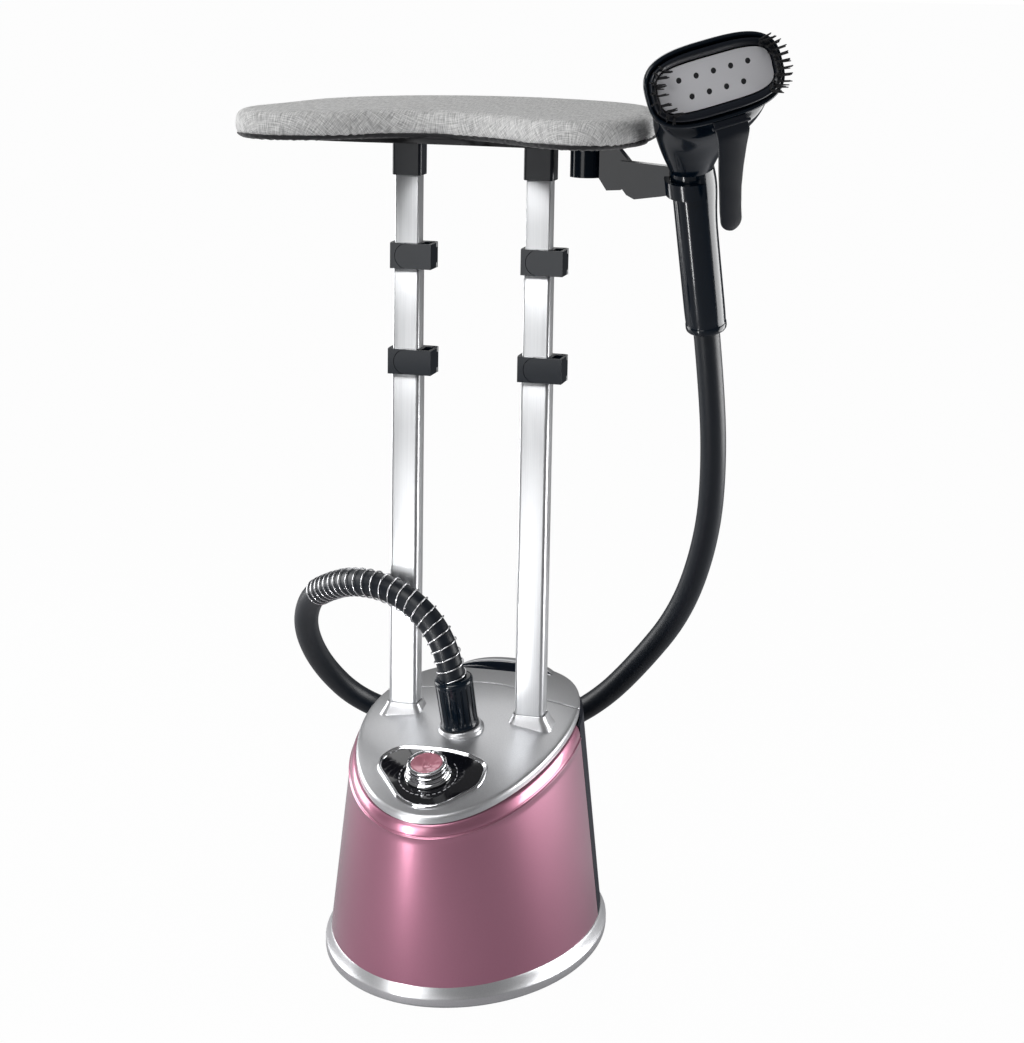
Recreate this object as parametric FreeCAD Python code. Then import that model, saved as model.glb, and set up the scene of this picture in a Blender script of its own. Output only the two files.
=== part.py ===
"""Garment steamer with a telescopic twin-pole stand, a padded pressing board and a hung steam handset.

Frame: millimetres, +Z up. The origin is on the floor at the centre of the oval base. The front faces -Y
and +X is to the right of someone who faces the front. One STEP file is written for each named piece.
"""
import FreeCAD
import Part
import math
import os
from FreeCAD import Vector as V

# ---------------------------------------------------------------- driving dimensions
BASE_A, BASE_B = 145.0, 194.0          # half width and half depth of the base ring
RING_BOTTOM, RING_TOP = 3.0, 26.0
SEAT_Z = 22.0                          # shelf of the ring that the body shell stands on
BODY_A0, BODY_B = 139.0, 189.5         # body oval at the seat
BODY_A1 = 112.5                        # half width of the body oval at BODY_Z1
BODY_Z1 = 240.0
BODY_TOP = 290.0                       # the shells are cut from an oval this tall
WALL = 2.6
DECK_A, DECK_B = 109.5, 187.0          # deck oval
DECK_Z, DECK_SLOPE = 250.9, 0.105      # deck height at the middle and its slope towards the back
DECK_CURVE_Y, DECK_CURVE_X = 0.00092, 0.00095
DECK_T, LIP, BAND = 3.0, 7.5, 9.0      # deck sheet, depth of its lip, top of the shell below the deck
SEAM_Y, LID_Y = 22.0, 45.0
BULGE_R, BULGE_X, BULGE_Y = 78.0, 3.0, -10.0
WELL_HALF, WELL_DEPTH, WELL_Y = 52.0, 13.0, 137.0   # finger well in the tank's lid
GRIP_HALF, GRIP_Y = 58.0, 163.0        # raised grip behind it
POLE_X, POLE_Y = 68.0, -12.0
LOWER_W, LOWER_D = 30.0, 23.0          # lower tube
TUBE_WALL, TUBE_FIT = 1.2, 0.08        # wall of each tube and the clearance between two of them
MIDDLE_W, MIDDLE_D = LOWER_W - 2 * (TUBE_WALL + TUBE_FIT), LOWER_D - 2 * (TUBE_WALL + TUBE_FIT)
UPPER_W, UPPER_D = MIDDLE_W - 2 * (TUBE_WALL + TUBE_FIT), MIDDLE_D - 2 * (TUBE_WALL + TUBE_FIT)
LOWER_R = 4.0                          # rounding of the lower tube's corners
MIDDLE_R, UPPER_R = LOWER_R - TUBE_WALL - TUBE_FIT, LOWER_R - 2 * (TUBE_WALL + TUBE_FIT)
CLAMP_H, CLAMP_WALL, LIP_H = 26.0, 2.5, 6.0
CLAMP_LOWER_Z, CLAMP_UPPER_Z = 605.0, 713.0
LEVER_T, THUMB_X = 3.0, 2.8            # lever's thickness, and its round end's middle from the pole's axis
EAR_H, BARREL_R, PIN_R = 5.0, 4.6, 1.8
LOWER_TOP, MIDDLE_TOP, UPPER_TOP = CLAMP_LOWER_Z + CLAMP_H - LIP_H, CLAMP_UPPER_Z + CLAMP_H - LIP_H, 838.0
LOWER_BOTTOM, MIDDLE_BOTTOM, UPPER_BOTTOM = 11.05, 235.0, 450.0
CAP_W, CAP_D = 30.5, 23.5
CAP_BOTTOM, BOARD_UNDER = 807.0, 843.0
BOARD_TRAY_TOP, BOARD_TOP = 850.5, 877.0
NUT_BASE, NUT_AXIS = V(3, -49, 244.2), V(-0.09, -0.19, 0.977)
NUT_LENGTH, NUT_R, NUT_GROOVES = 57.0, 18.5, 24
SOCKET_R = 19.0                        # neck of the socket that the nut screws onto
HOSE_R = 13.3
HOSE_BORE = 13.6
GUARD_WALL = 2.1                       # thickness of the spring guard round the hose
BOILER_Y, VALVE_Y = -55.0, 110.0
INLET_Y, INLET_Z, INLET_R = 2.0, 52.0, 9.0
SCREWS = [(-60, -140), (60, -140), (-60, 150), (60, 150), (-115, 20), (115, 20)]
KNOB_X, KNOB_Y = -6.0, -132.0
PANEL_DISCS = [                        # x, y and radius of the discs that the panel's outline runs round
    (-38.0, -116.0, 25.5), (34.0, -115.0, 16.5), (-1.0, -136.5, 41.0), (0.0, -118.5, 27.5),
    (18.5, -126.0, 32.5),
]
FORK = V(222, -22, 811)                # centre of the fork that the handset's neck rests in
HANDLE_UP, HEAD_SIDE = V(-0.065, -0.303, 0.951), V(0.759, 0.602, 0.244)
HANDLE_BELOW = 163.0                   # length of the handle below the fork
HANDLE_FOOT = FORK - HANDLE_UP * HANDLE_BELOW
HANDLE_R, HANDLE_BORE = 20.5, 17.5
HEAD_CENTRE, HEAD_TILT = V(2.5, -61.5, 285.1), 19.0  # in the handset's own frame, above the handle's foot
HEAD_HALF_LENGTH, HEAD_HALF_HEIGHT = 72.5, 38.0
FRAME_HALF_LENGTH, FRAME_HALF_HEIGHT = 68.5, 31.5
PLATE_HALF_LENGTH, PLATE_HALF_HEIGHT, PLATE_POWER = 60.5, 22.3, 3.8
HOLE_PITCH, HOLE_ROWS, HOLE_R = 18.4, 17.3, 2.8
NECK_Z, BRISTLE = 178.0, 13.0          # height where the head leaves the handle, and reach of the bristles
TUFT_COUNTS = ((-1, 9), (1, 13))       # tufts round the plate's left and right ends
TUFT_SWEEP, TUFT_RISE, TUFT_R = 66.0, 26.0, 1.6
ARM_X, FORK_R = 114.0, 22.0            # the holder's boss and the inside of its fork
MOUTH_HALF = 20.7                      # half width of the fork's mouth, which the handle passes
HANDLE_START = 6.0                     # height of the handle's lower end above its foot point
LEVER_X, LEVER_HALF = 7.0, 17.5        # middle and half width of the crease lever at its hinge
LUG_T, LUG_GAP = 2.2, 0.4              # thickness of the lugs beside it and their clearance
LEVER_DROPS = [                        # below the hinge: how far down, and where the blade's two edges are
    (-8, -10.5, 24.5), (8, -10.4, 24.2), (23, -10.5, 19.7), (43, -12, 14.8), (63, -12.8, 11.2),
    (83, -13.8, 9.4), (95, -12.6, 7.4), (101, -8, 3), (104.5, -4, -1),
]
RUNNING = 0.3                          # clearance between bodies that move past each other

# The hose's route, from inside the nut to inside the handle.
HOSE_ROUTE = [
    tuple(NUT_BASE + NUT_AXIS * 33.5), tuple(NUT_BASE + NUT_AXIS * 81.5),
    (-30, -60, 364), (-71, -49, 385), (-118, -29, 384), (-159, 9, 364), (-198, 52, 336), (-222, 100, 284),
    (-222, 161, 221), (-195, 214, 165), (-135, 243, 139), (-55, 246, 133), (25, 242, 146), (88, 223, 190),
    (138, 190, 248), (194, 155, 327), (226, 115, 424), (237, 73, 520),
    tuple(HANDLE_FOOT - HANDLE_UP * 40), tuple(HANDLE_FOOT + HANDLE_UP * 42),
]

# The board's edge, seen from above, as the points that a closed smooth curve passes through.
BOARD_EDGE = [
    (-203, -118), (-182, -150), (-142, -156), (-104, -130), (-66, -90), (-20, -73), (32, -90), (86, -130),
    (128, -146), (160, -130), (178, -84), (180, 0), (168, 80), (135, 132), (78, 166), (5, 182), (-76, 167),
    (-145, 116), (-182, 50), (-198, -40),
]
# The tray under it runs almost straight along the front.
TRAY_EDGE = [
    (-186, -66), (-150, -77), (-60, -74), (40, -70), (108, -66), (150, -40), (165, 5), (156, 72), (126, 120),
    (72, 153), (4, 169), (-72, 154), (-135, 106), (-170, 44), (-189, -30),
]

os.makedirs("parts", exist_ok=True)


# ---------------------------------------------------------------- small helpers
def save(node, shape):
    """Write one node: a solid, or a list of separate solids."""
    shapes = shape if isinstance(shape, list) else [shape]
    solids = [s for one in shapes for s in one.Solids]
    out = solids[0] if len(solids) == 1 else Part.makeCompound(solids)
    out.exportStep(f"parts/{node}.step")
    print(f"{node}: {len(solids)} solid(s), {sum(s.Volume for s in solids) / 1000:.1f} cm3")


def box(x0, x1, y0, y1, z0, z1):
    return Part.makeBox(x1 - x0, y1 - y0, z1 - z0, V(x0, y0, z0))


def cylinder(r, start, end):
    start, end = V(*start), V(*end)
    return Part.makeCylinder(r, (end - start).Length, start, end - start)


def oval_wire(a, b, z):
    """An ellipse with half width a along X and half depth b along Y."""
    centre = V(0, 0, z)
    if b >= a:
        curve = Part.Ellipse(V(0, b, z), V(a, 0, z), centre)
    else:
        curve = Part.Ellipse(V(a, 0, z), V(0, b, z), centre)
    return Part.Wire([curve.toShape()])


def oval_prism(a, b, z0, z1):
    return Part.Face(oval_wire(a, b, z0)).extrude(V(0, 0, z1 - z0))


def body_half_width(z):
    """The body narrows in a straight line from its seat to the deck."""
    return BODY_A0 + (BODY_A1 - BODY_A0) * (z - SEAT_Z) / (BODY_Z1 - SEAT_Z)


def body_oval(inset, z0, z1):
    """The tapered oval of the body between two heights, inset all round."""
    wires = [oval_wire(body_half_width(z) - inset, BODY_B - inset, z) for z in (z0, z1)]
    return Part.makeLoft(wires, True, True)


def deck_height(x, y):
    return DECK_Z + DECK_SLOPE * y - DECK_CURVE_Y * y * y - DECK_CURVE_X * x * x


def deck_normal(x, y):
    n = V(2 * DECK_CURVE_X * x, -DECK_SLOPE + 2 * DECK_CURVE_Y * y, 1)
    return n.normalize()


def above_deck(offset):
    """Everything above the domed deck surface, moved up by offset. The dome is one biquadratic patch."""
    half_x, half_y = 170.0, 230.0
    bend_x = (-DECK_CURVE_X * half_x**2, DECK_CURVE_X * half_x**2, -DECK_CURVE_X * half_x**2)
    bend_y = (-DECK_CURVE_Y * half_y**2, DECK_CURVE_Y * half_y**2, -DECK_CURVE_Y * half_y**2)
    patch = Part.BezierSurface()
    patch.increase(2, 2)
    for i, x in enumerate((-half_x, 0, half_x)):
        for j, y in enumerate((-half_y, 0, half_y)):
            z = DECK_Z + offset + DECK_SLOPE * y + bend_x[i] + bend_y[j]
            patch.setPole(i + 1, j + 1, V(x, y, z))
    return patch.toShape().extrude(V(0, 0, 200))


def deck_slab(prism, low, high):
    """The part of an upright prism between two offsets of the deck surface."""
    return prism.common(above_deck(low)).cut(above_deck(high))


def rounded_rectangle(w, d, r, z, cx=0.0, cy=0.0):
    """A closed wire, centred on (cx, cy), with rounded corners."""
    x, y = w / 2 - r, d / 2 - r
    edges = []
    corners = [(x, y, 0), (-x, y, 90), (-x, -y, 180), (x, -y, 270)]
    ends = []
    for px, py, start in corners:
        a0, a1 = math.radians(start), math.radians(start + 90)
        am = (a0 + a1) / 2
        points = [V(cx + px + r * math.cos(a), cy + py + r * math.sin(a), z) for a in (a0, am, a1)]
        ends.append((points[0], points[2]))
        edges.append(Part.Arc(*points).toShape())
    for i in range(4):
        edges.append(Part.LineSegment(ends[i][1], ends[(i + 1) % 4][0]).toShape())
    return Part.Wire(Part.__sortEdges__(edges))


def rounded_bar(w, d, r, z0, z1, cx=0.0, cy=0.0):
    return Part.Face(rounded_rectangle(w, d, r, z0, cx, cy)).extrude(V(0, 0, z1 - z0))


def square_tube(w, d, r, z0, z1, cx):
    inner = rounded_bar(w - 2 * TUBE_WALL, d - 2 * TUBE_WALL, r - TUBE_WALL, z0 - 1, z1 + 1, cx, POLE_Y)
    return rounded_bar(w, d, r, z0, z1, cx, POLE_Y).cut(inner)


def smooth_wire(points):
    """A closed smooth curve through the points."""
    curve = Part.BSplineCurve()
    curve.interpolate(Points=points, PeriodicFlag=True)
    return Part.Wire([curve.toShape()])


def rounded_path(points, share=0.45):
    """Straight runs joined by tangent arcs. Each arc uses share of the shorter of its two runs.
    Returns the edges in order and the arcs' radii."""
    pts = [V(*p) for p in points]
    edges, radii, start = [], [], pts[0]
    for before, corner, after in zip(pts, pts[1:], pts[2:]):
        back, ahead = before - corner, after - corner
        cut = share * min(back.Length, ahead.Length)
        back.normalize()
        ahead.normalize()
        turn = math.pi - back.getAngle(ahead)
        radii.append(cut / math.tan(turn / 2))
        p0, p1 = corner + back * cut, corner + ahead * cut
        middle = (back + ahead).normalize()
        reach = radii[-1] / math.cos(turn / 2) - radii[-1]
        edges.append(Part.LineSegment(start, p0).toShape())
        edges.append(Part.Arc(p0, corner + middle * reach, p1).toShape())
        start = p1
    edges.append(Part.LineSegment(start, pts[-1]).toShape())
    return edges, radii


def tube_along(edges, radius):
    """A round solid swept along a path of lines and tangent arcs."""
    path = Part.Wire(edges)
    start = edges[0].Vertexes[0].Point
    direction = edges[0].Vertexes[1].Point - start
    profile = Part.Wire([Part.Circle(start, direction, radius).toShape()])
    return path.makePipeShell([profile], True, False)


def turned(points, base, axis):
    """A solid of revolution: points are (radius, height) pairs along axis from base."""
    edges = Part.makePolygon([V(r, 0, h) for r, h in points + points[:1]])
    solid = Part.Face(edges).revolve(V(0, 0, 0), V(0, 0, 1), 360)
    solid.Placement = FreeCAD.Placement(V(*base), FreeCAD.Rotation(V(0, 0, 1), V(*axis)))
    return solid


# ---------------------------------------------------------------- base: feet, tray, ring and shell
def make_base():
    feet = [cylinder(13, (x, y, 0), (x, y, 5)) for x in (-82, 82) for y in (-118, 118)]
    feet.append(cylinder(13, (0, 0, 0), (0, 0, 5)))
    save("rubber_feet", feet)

    tray = oval_prism(131.5, 180.5, 5, 9)
    for x in (-POLE_X, POLE_X):
        socket = rounded_bar(LOWER_W + 7, LOWER_D + 7, LOWER_R + 3, 9, 34, x, POLE_Y)
        bore = rounded_bar(LOWER_W + 0.1, LOWER_D + 0.1, LOWER_R, 11, 40, x, POLE_Y)
        tray = tray.fuse(socket).cut(bore)
    save("base_tray", tray)

    profile = [(0.5, RING_BOTTOM), (0.0, 9.0), (0.6, 15.0), (2.6, 21.0), (5.2, RING_TOP)]
    outside = Part.makeLoft([oval_wire(BASE_A - inset, BASE_B - inset, z) for inset, z in profile], True)
    ring = outside.cut(oval_prism(132, 181, 0, SEAT_Z)).cut(body_oval(-0.1, SEAT_Z, BODY_TOP))
    save("base_ring", ring)

    outer = body_oval(0, SEAT_Z, BODY_TOP)
    wall = outer.cut(body_oval(WALL, SEAT_Z - 1, BODY_TOP + 1)).cut(above_deck(-BAND))
    ledge_prism = body_oval(0, SEAT_Z, BODY_TOP).cut(oval_prism(DECK_A - 6, DECK_B - 6, 0, 300))
    ledge = deck_slab(ledge_prism, -BAND - 2, -BAND)
    front = box(-200, 200, -250, SEAM_Y, 0, 320)
    shell = wall.fuse(ledge).common(front)
    shell = shell.cut(cylinder(INLET_R + 0.3, (-150, INLET_Y, INLET_Z), (-120, INLET_Y, INLET_Z)))
    save("body_shell", shell)

    inlet = [(4, 0), (INLET_R, 0), (INLET_R, 9), (13, 9), (12, 15), (6, 17), (4, 17)]
    save("mains_inlet", turned(inlet, (-128.1, INLET_Y, INLET_Z), (-1, 0, 0)))

    strip = wall.common(box(-200, 200, SEAM_Y + 0.3, LID_Y - 0.7, 0, 320))
    inside = body_oval(WALL, SEAT_Z, BODY_TOP)
    bulkhead = inside.common(box(-200, 200, LID_Y - 3.2, LID_Y - 0.7, SEAT_Z, 225))
    shelf = oval_prism(131, 180, 17, 20).common(box(-200, 200, LID_Y - 3.2, 250, 0, 40))
    joint_wall = oval_prism(131, 180, 17, SEAT_Z).common(box(-200, 200, LID_Y - 3.2, LID_Y - 0.7, 0, 40))
    shelf = shelf.fuse(joint_wall).cut(cylinder(9, (0, VALVE_Y, 0), (0, VALVE_Y, 40)))
    save("tank_bay", strip.fuse(bulkhead).fuse(shelf))

    screws = []
    for x, y in SCREWS:
        screws.append(cylinder(3.6, (x, y, 3), (x, y, 4.95)).fuse(cylinder(1.8, (x, y, 4.95), (x, y, 4.99))))
    save("case_screws", screws)


# ---------------------------------------------------------------- deck, collars, panel and knob
def deck_region(gap):
    """The deck's share of the top: ahead of the lid's seam, with a round bulge behind the hose socket."""
    front = box(-200, 200, -250, LID_Y - gap, 0, 400)
    bulge = Part.makeCylinder(BULGE_R - gap, 400, V(BULGE_X, BULGE_Y, 0))
    return front.fuse(bulge)


def panel_prism(inset, count=60):
    """The control panel seen from above: the belt round its discs, moved in by inset."""
    loop = []
    for k in range(720):
        n = V(math.cos(math.radians(k / 2)), math.sin(math.radians(k / 2)), 0)
        x, y, r = max(PANEL_DISCS, key=lambda disc: disc[0] * n.x + disc[1] * n.y + disc[2])
        loop.append(V(x, y, 0) + n * (r - inset))
    runs = list(zip(loop, loop[1:] + loop[:1]))
    step = sum((b - a).Length for a, b in runs) / count
    points, walked = [], 0.0
    for a, b in runs:
        length = (b - a).Length
        while len(points) < count and step * len(points) <= walked + length:
            points.append(a + (b - a) * ((step * len(points) - walked) / length))
        walked += length
    return Part.Face(smooth_wire(points)).extrude(V(0, 0, 400))


def make_deck():
    oval = oval_prism(DECK_A, DECK_B, 100, 320)
    inner = oval_prism(DECK_A - 3, DECK_B - 3, 90, 330)
    top = deck_slab(oval, -DECK_T, 0).fuse(deck_slab(oval.cut(inner), -LIP, -DECK_T + 0.01))
    region = deck_region(0)
    deck = top.common(region).cut(panel_prism(3.0))
    for x in (-POLE_X, POLE_X):
        deck = deck.cut(rounded_bar(LOWER_W + 0.4, LOWER_D + 0.4, LOWER_R, 100, 330, x, POLE_Y))
    steam_way = cylinder(SOCKET_R + 0.2, tuple(NUT_BASE - NUT_AXIS * 20), tuple(NUT_BASE + NUT_AXIS * 20))
    save("front_deck", deck.cut(steam_way))

    for side, x in (("left", -POLE_X), ("right", POLE_X)):
        flare = Part.makeLoft(
            [rounded_rectangle(46, 38, 6, 228, x, POLE_Y), rounded_rectangle(33.5, 26.5, 5, 257, x, POLE_Y)],
            True, True)
        bore = rounded_bar(LOWER_W + 0.4, LOWER_D + 0.4, LOWER_R, 220, 270, x, POLE_Y)
        save(f"collar_{side}", flare.cut(bore).common(above_deck(0.02)))

    bezel = deck_slab(panel_prism(0).cut(panel_prism(4.0)), 0.02, 3.0)
    bezel = bezel.fuse(deck_slab(panel_prism(3.2).cut(panel_prism(4.4)), -2.5, 0.5))
    save("panel_bezel", bezel)
    shaft_way = cylinder(6, tuple(knob_point(-20)), tuple(knob_point(20)))
    save("control_panel", deck_slab(panel_prism(4.5), -2.4, 0.6).cut(shaft_way))


def knob_point(height):
    base = V(KNOB_X, KNOB_Y, deck_height(KNOB_X, KNOB_Y))
    return base + deck_normal(KNOB_X, KNOB_Y) * height


def make_knob():
    axis = tuple(deck_normal(KNOB_X, KNOB_Y))
    seat = tuple(knob_point(1.0))
    skirt = turned([(0, -14), (3, -14), (3, 0), (23.5, 0), (23.5, 2.2), (21.5, 3.6), (21.5, 5.2), (20.6, 5.6),
                    (20.6, 8.5), (19, 10), (0, 10)], seat, axis)
    ring = turned([(14.2, 10.05), (20.0, 10.05), (20.0, 14.0), (18.8, 15.6), (15.2, 15.6), (14.2, 14.6)],
                  seat, axis)
    insert = turned([(0, 10.05), (14.1, 10.05), (14.1, 15.0), (12, 14.2), (8, 13.0), (0, 12.4)], seat, axis)
    save("knob_skirt", skirt)
    save("knob_ring", ring)
    save("knob_insert", insert)
    switch = turned([(3.1, -26), (15, -26), (15, -8), (5.4, -8), (5.4, -1.5), (3.1, -1.5)], seat, axis)
    plug = turned([(0, -26), (3.1, -26), (3.1, -16), (0, -16)], seat, axis)
    save("rotary_switch", switch.fuse(plug))


# ---------------------------------------------------------------- boiler, pipes and hose
def make_steam_path():
    tank_side = [(0, 0), (40, 0), (46, 6), (46, 44), (38, 56), (8.2, 60), (0, 60)]
    boiler = turned(tank_side, (0, BOILER_Y, 16), (0, 0, 1))
    for x in (-24, 24):
        for y in (BOILER_Y - 24, BOILER_Y + 24):
            boiler = boiler.fuse(cylinder(5, (x, y, 9), (x, y, 18)))
    save("boiler", boiler)
    save("thermostat", turned([(0, 0), (12, 0), (12, 8), (8, 12), (0, 12)], (46.2, BOILER_Y, 44), (1, 0, 0)))
    pipe_start, pipe_end = V(0, BOILER_Y, 76.2), NUT_BASE - NUT_AXIS * 8
    pipe = cylinder(7, tuple(pipe_start + V(0, 0, 1)), tuple(pipe_end))
    bore = cylinder(5, tuple(pipe_start - V(0, 0, 1)), tuple(pipe_end + (pipe_end - pipe_start).normalize()))
    save("steam_pipe", pipe.cut(bore))
    seat = cylinder(8.7, (0, VALVE_Y, 9.05), (0, VALVE_Y, 24))
    save("valve_seat", seat.cut(cylinder(3.4, (0, VALVE_Y, 13), (0, VALVE_Y, 25))))
    feed, _ = rounded_path([(0, VALVE_Y - 9, 13), (0, 34, 13), (0, 14, 30), (0, BOILER_Y + 46.1, 30)])
    save("feed_tube", tube_along(feed, 3.5))

    place_at = (tuple(NUT_BASE), tuple(NUT_AXIS))
    neck = turned([(16.2, -8), (SOCKET_R, -8), (SOCKET_R, 3), (16.2, 3)], *place_at)
    flange = [(16.2, -5), (25, -5), (25, 2), (23.5, 4.4), (20.5, 4.4), (SOCKET_R, 3), (16.2, 3)]
    save("hose_socket", turned(flange, *place_at).common(above_deck(0.02)).fuse(neck))
    low, high = 3.2, NUT_LENGTH
    nut = turned([(0, low), (NUT_R - 1.2, low), (NUT_R, low + 2), (NUT_R - 1.0, high - 3), (NUT_R - 3, high),
                  (HOSE_BORE, high), (HOSE_BORE, high - 26), (0, high - 26)], *place_at)
    nut = nut.cut(turned([(0, low - 1), (5, low - 1), (5, high), (0, high)], *place_at))
    flutes = []
    for k in range(NUT_GROOVES):
        groove = cylinder(1.15, (NUT_R + 0.2, 0, low + 6), (NUT_R - 0.7, 0, high - 5))
        groove.rotate(V(0, 0, 0), V(0, 0, 1), 360 / NUT_GROOVES * k)
        flutes.append(groove)
    tool = Part.makeCompound(flutes)
    tool.Placement = FreeCAD.Placement(NUT_BASE, FreeCAD.Rotation(V(0, 0, 1), NUT_AXIS))
    save("hose_nut", nut.cut(tool))

    edges, radii = rounded_path(HOSE_ROUTE)
    print("hose radii:", [round(r) for r in radii])
    hose = tube_along(edges, HOSE_R)
    length = sum(e.Length for e in edges)
    print(f"hose length {length:.0f} mm, volume / (section x length) "
          f"{hose.Volume / (math.pi * HOSE_R**2 * length):.4f}")
    save("steam_hose", hose)

    guard_edges = edges[1:11]
    first = edges[0].Vertexes[1].Point
    into = V(*HOSE_ROUTE[1]) - V(*HOSE_ROUTE[0])
    start = first - into.normalize() * 0.6
    guard_edges = [Part.LineSegment(start, first).toShape()] + guard_edges
    guard = tube_along(guard_edges, HOSE_R + 0.1 + GUARD_WALL).cut(tube_along(guard_edges, HOSE_R + 0.1))
    save("spring_guard", guard)


# ---------------------------------------------------------------- water tank
def make_tank():
    region = box(-200, 200, LID_Y, 250, 0, 400)
    lid_region = region.cut(deck_region(-0.5))
    tank_region = region.cut(Part.makeCylinder(BULGE_R + 0.5, 400, V(BULGE_X, BULGE_Y, 0)))
    room = box(-200, 200, LID_Y + 3, 250, 0, 400)
    room = room.cut(Part.makeCylinder(BULGE_R + 3.5, 400, V(BULGE_X, BULGE_Y, 0)))
    outer = body_oval(0, 27, BODY_TOP).cut(above_deck(-BAND)).common(tank_region)
    tank = outer.cut(body_oval(3, 30, BODY_TOP).common(room))
    tank = tank.cut(cylinder(7, (0, VALVE_Y, 20), (0, VALVE_Y, 40)))
    save("tank_body", tank)

    oval = oval_prism(DECK_A, DECK_B, 100, 320)
    skirt = oval.cut(oval_prism(DECK_A - 3, DECK_B - 3, 90, 330))
    lid = deck_slab(oval, -DECK_T, 0).fuse(deck_slab(skirt, -LIP, -DECK_T + 0.01)).common(lid_region)
    rim = body_oval(0, 30, BODY_TOP).cut(oval_prism(DECK_A - 6, DECK_B - 6, 0, 300))
    rim = deck_slab(rim, -BAND + 0.05, -LIP + 0.05).common(lid_region)
    well = oval_prism(WELL_HALF, WELL_DEPTH, 200, 300)
    well.translate(V(0, WELL_Y, 0))
    save("tank_lid", lid.fuse(rim).cut(well))

    floor = deck_slab(well, -16, -14)
    sides = deck_slab(well, -16, -0.2)
    inner = oval_prism(WELL_HALF - 2, WELL_DEPTH - 2, 190, 310)
    inner.translate(V(0, WELL_Y, 0))
    save("handle_well", floor.fuse(sides.cut(inner)))

    crest = oval_prism(GRIP_HALF, 19, 200, 300)
    crest.translate(V(0, GRIP_Y, 0))
    arch = Part.makePolygon([V(-GRIP_HALF, 0, 0), V(-GRIP_HALF + 14, 0, 7), V(-16, 0, 9.5), V(16, 0, 9.5),
                             V(GRIP_HALF - 14, 0, 7), V(GRIP_HALF, 0, 0), V(-GRIP_HALF, 0, 0)])
    hump = Part.Face(arch).extrude(V(0, 60, 0))
    hump.translate(V(0, GRIP_Y - 30, deck_height(0, GRIP_Y)))
    grip = hump.common(crest).common(above_deck(0.02)).cut(well)
    save("tank_handle", grip)

    valve = None
    for r, low, high in ((2.6, 24.2, 40), (6.4, 26, 29.4), (10, 31, 33)):
        disc = cylinder(r, (0, VALVE_Y, low), (0, VALVE_Y, high))
        valve = disc if valve is None else valve.fuse(disc)
    save("tank_valve", valve)


# ---------------------------------------------------------------- poles, clamps and levers
def clamp_body(x, z, tube, lip):
    """A block round the top of one tube, whose lip closes on the next tube. tube and lip are each
    (width, depth, corner radius). Returns the block, its lever and the lever's pin."""
    top, mid = z + CLAMP_H, z + CLAMP_H / 2
    left, right = x - tube[0] / 2 - CLAMP_WALL, x + tube[0] / 2 + CLAMP_WALL
    front, back = POLE_Y - tube[1] / 2 - CLAMP_WALL, POLE_Y + tube[1] / 2 + CLAMP_WALL
    block = rounded_bar(right - left, back - front, 3, z, top, (left + right) / 2, (front + back) / 2)
    block = block.cut(rounded_bar(tube[0] + 0.1, tube[1] + 0.1, tube[2], z - 1, top - LIP_H, x, POLE_Y))
    block = block.cut(rounded_bar(lip[0] + 0.16, lip[1] + 0.16, lip[2], z, top + 1, x, POLE_Y))
    thumb_x, thumb_r = x + THUMB_X, CLAMP_H / 2
    face = box(left + 1, thumb_x, front - LEVER_T, front + 1, z, top)
    dish = cylinder(thumb_r + RUNNING, (thumb_x, front - 9, mid), (thumb_x, front - RUNNING / 2, mid))
    block = block.fuse(face.cut(dish))

    pin_x, pin_y = right + 7.0, back - 4.5
    outer_x = pin_x + BARREL_R
    levels = ((z, z + EAR_H), (top - EAR_H, top))
    for z0, z1 in levels:
        ear = cylinder(BARREL_R, (pin_x, pin_y, z0), (pin_x, pin_y, z1))
        block = block.fuse(ear).fuse(box(right - 2, pin_x, pin_y - BARREL_R, pin_y + BARREL_R, z0, z1))
    block = block.cut(cylinder(PIN_R + 0.05, (pin_x, pin_y, z - 1), (pin_x, pin_y, top + 1)))
    pin = cylinder(PIN_R, (pin_x, pin_y, z + 0.5), (pin_x, pin_y, top - 0.5))

    low, high = z + 0.2, top - 0.2
    plate = box(thumb_x, outer_x, front - LEVER_T - RUNNING, front - RUNNING, low, high)
    thumb_ends = [(thumb_x, front - LEVER_T - RUNNING, mid), (thumb_x, front - RUNNING, mid)]
    thumb = cylinder(thumb_r - 0.2, *thumb_ends)
    side = box(outer_x - 3, outer_x, front - LEVER_T - RUNNING, pin_y, low, high)
    lever = plate.fuse(thumb).fuse(side)
    for z0, z1 in ((z - 1, z + EAR_H + RUNNING), (top - EAR_H - RUNNING, top + 1)):
        lever = lever.cut(box(right - 4, outer_x + 1, pin_y - BARREL_R - RUNNING, pin_y + 6, z0, z1))
    barrel_z = (z + EAR_H + RUNNING, top - EAR_H - RUNNING)
    lever = lever.fuse(cylinder(BARREL_R, (pin_x, pin_y, barrel_z[0]), (pin_x, pin_y, barrel_z[1])))
    lever = lever.cut(cylinder(PIN_R + 0.05, (pin_x, pin_y, z), (pin_x, pin_y, top)))
    print(f"clamp pin axis at x {pin_x:.2f}, y {pin_y:.2f}, z {mid:.1f}")
    return block, lever, pin


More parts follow.
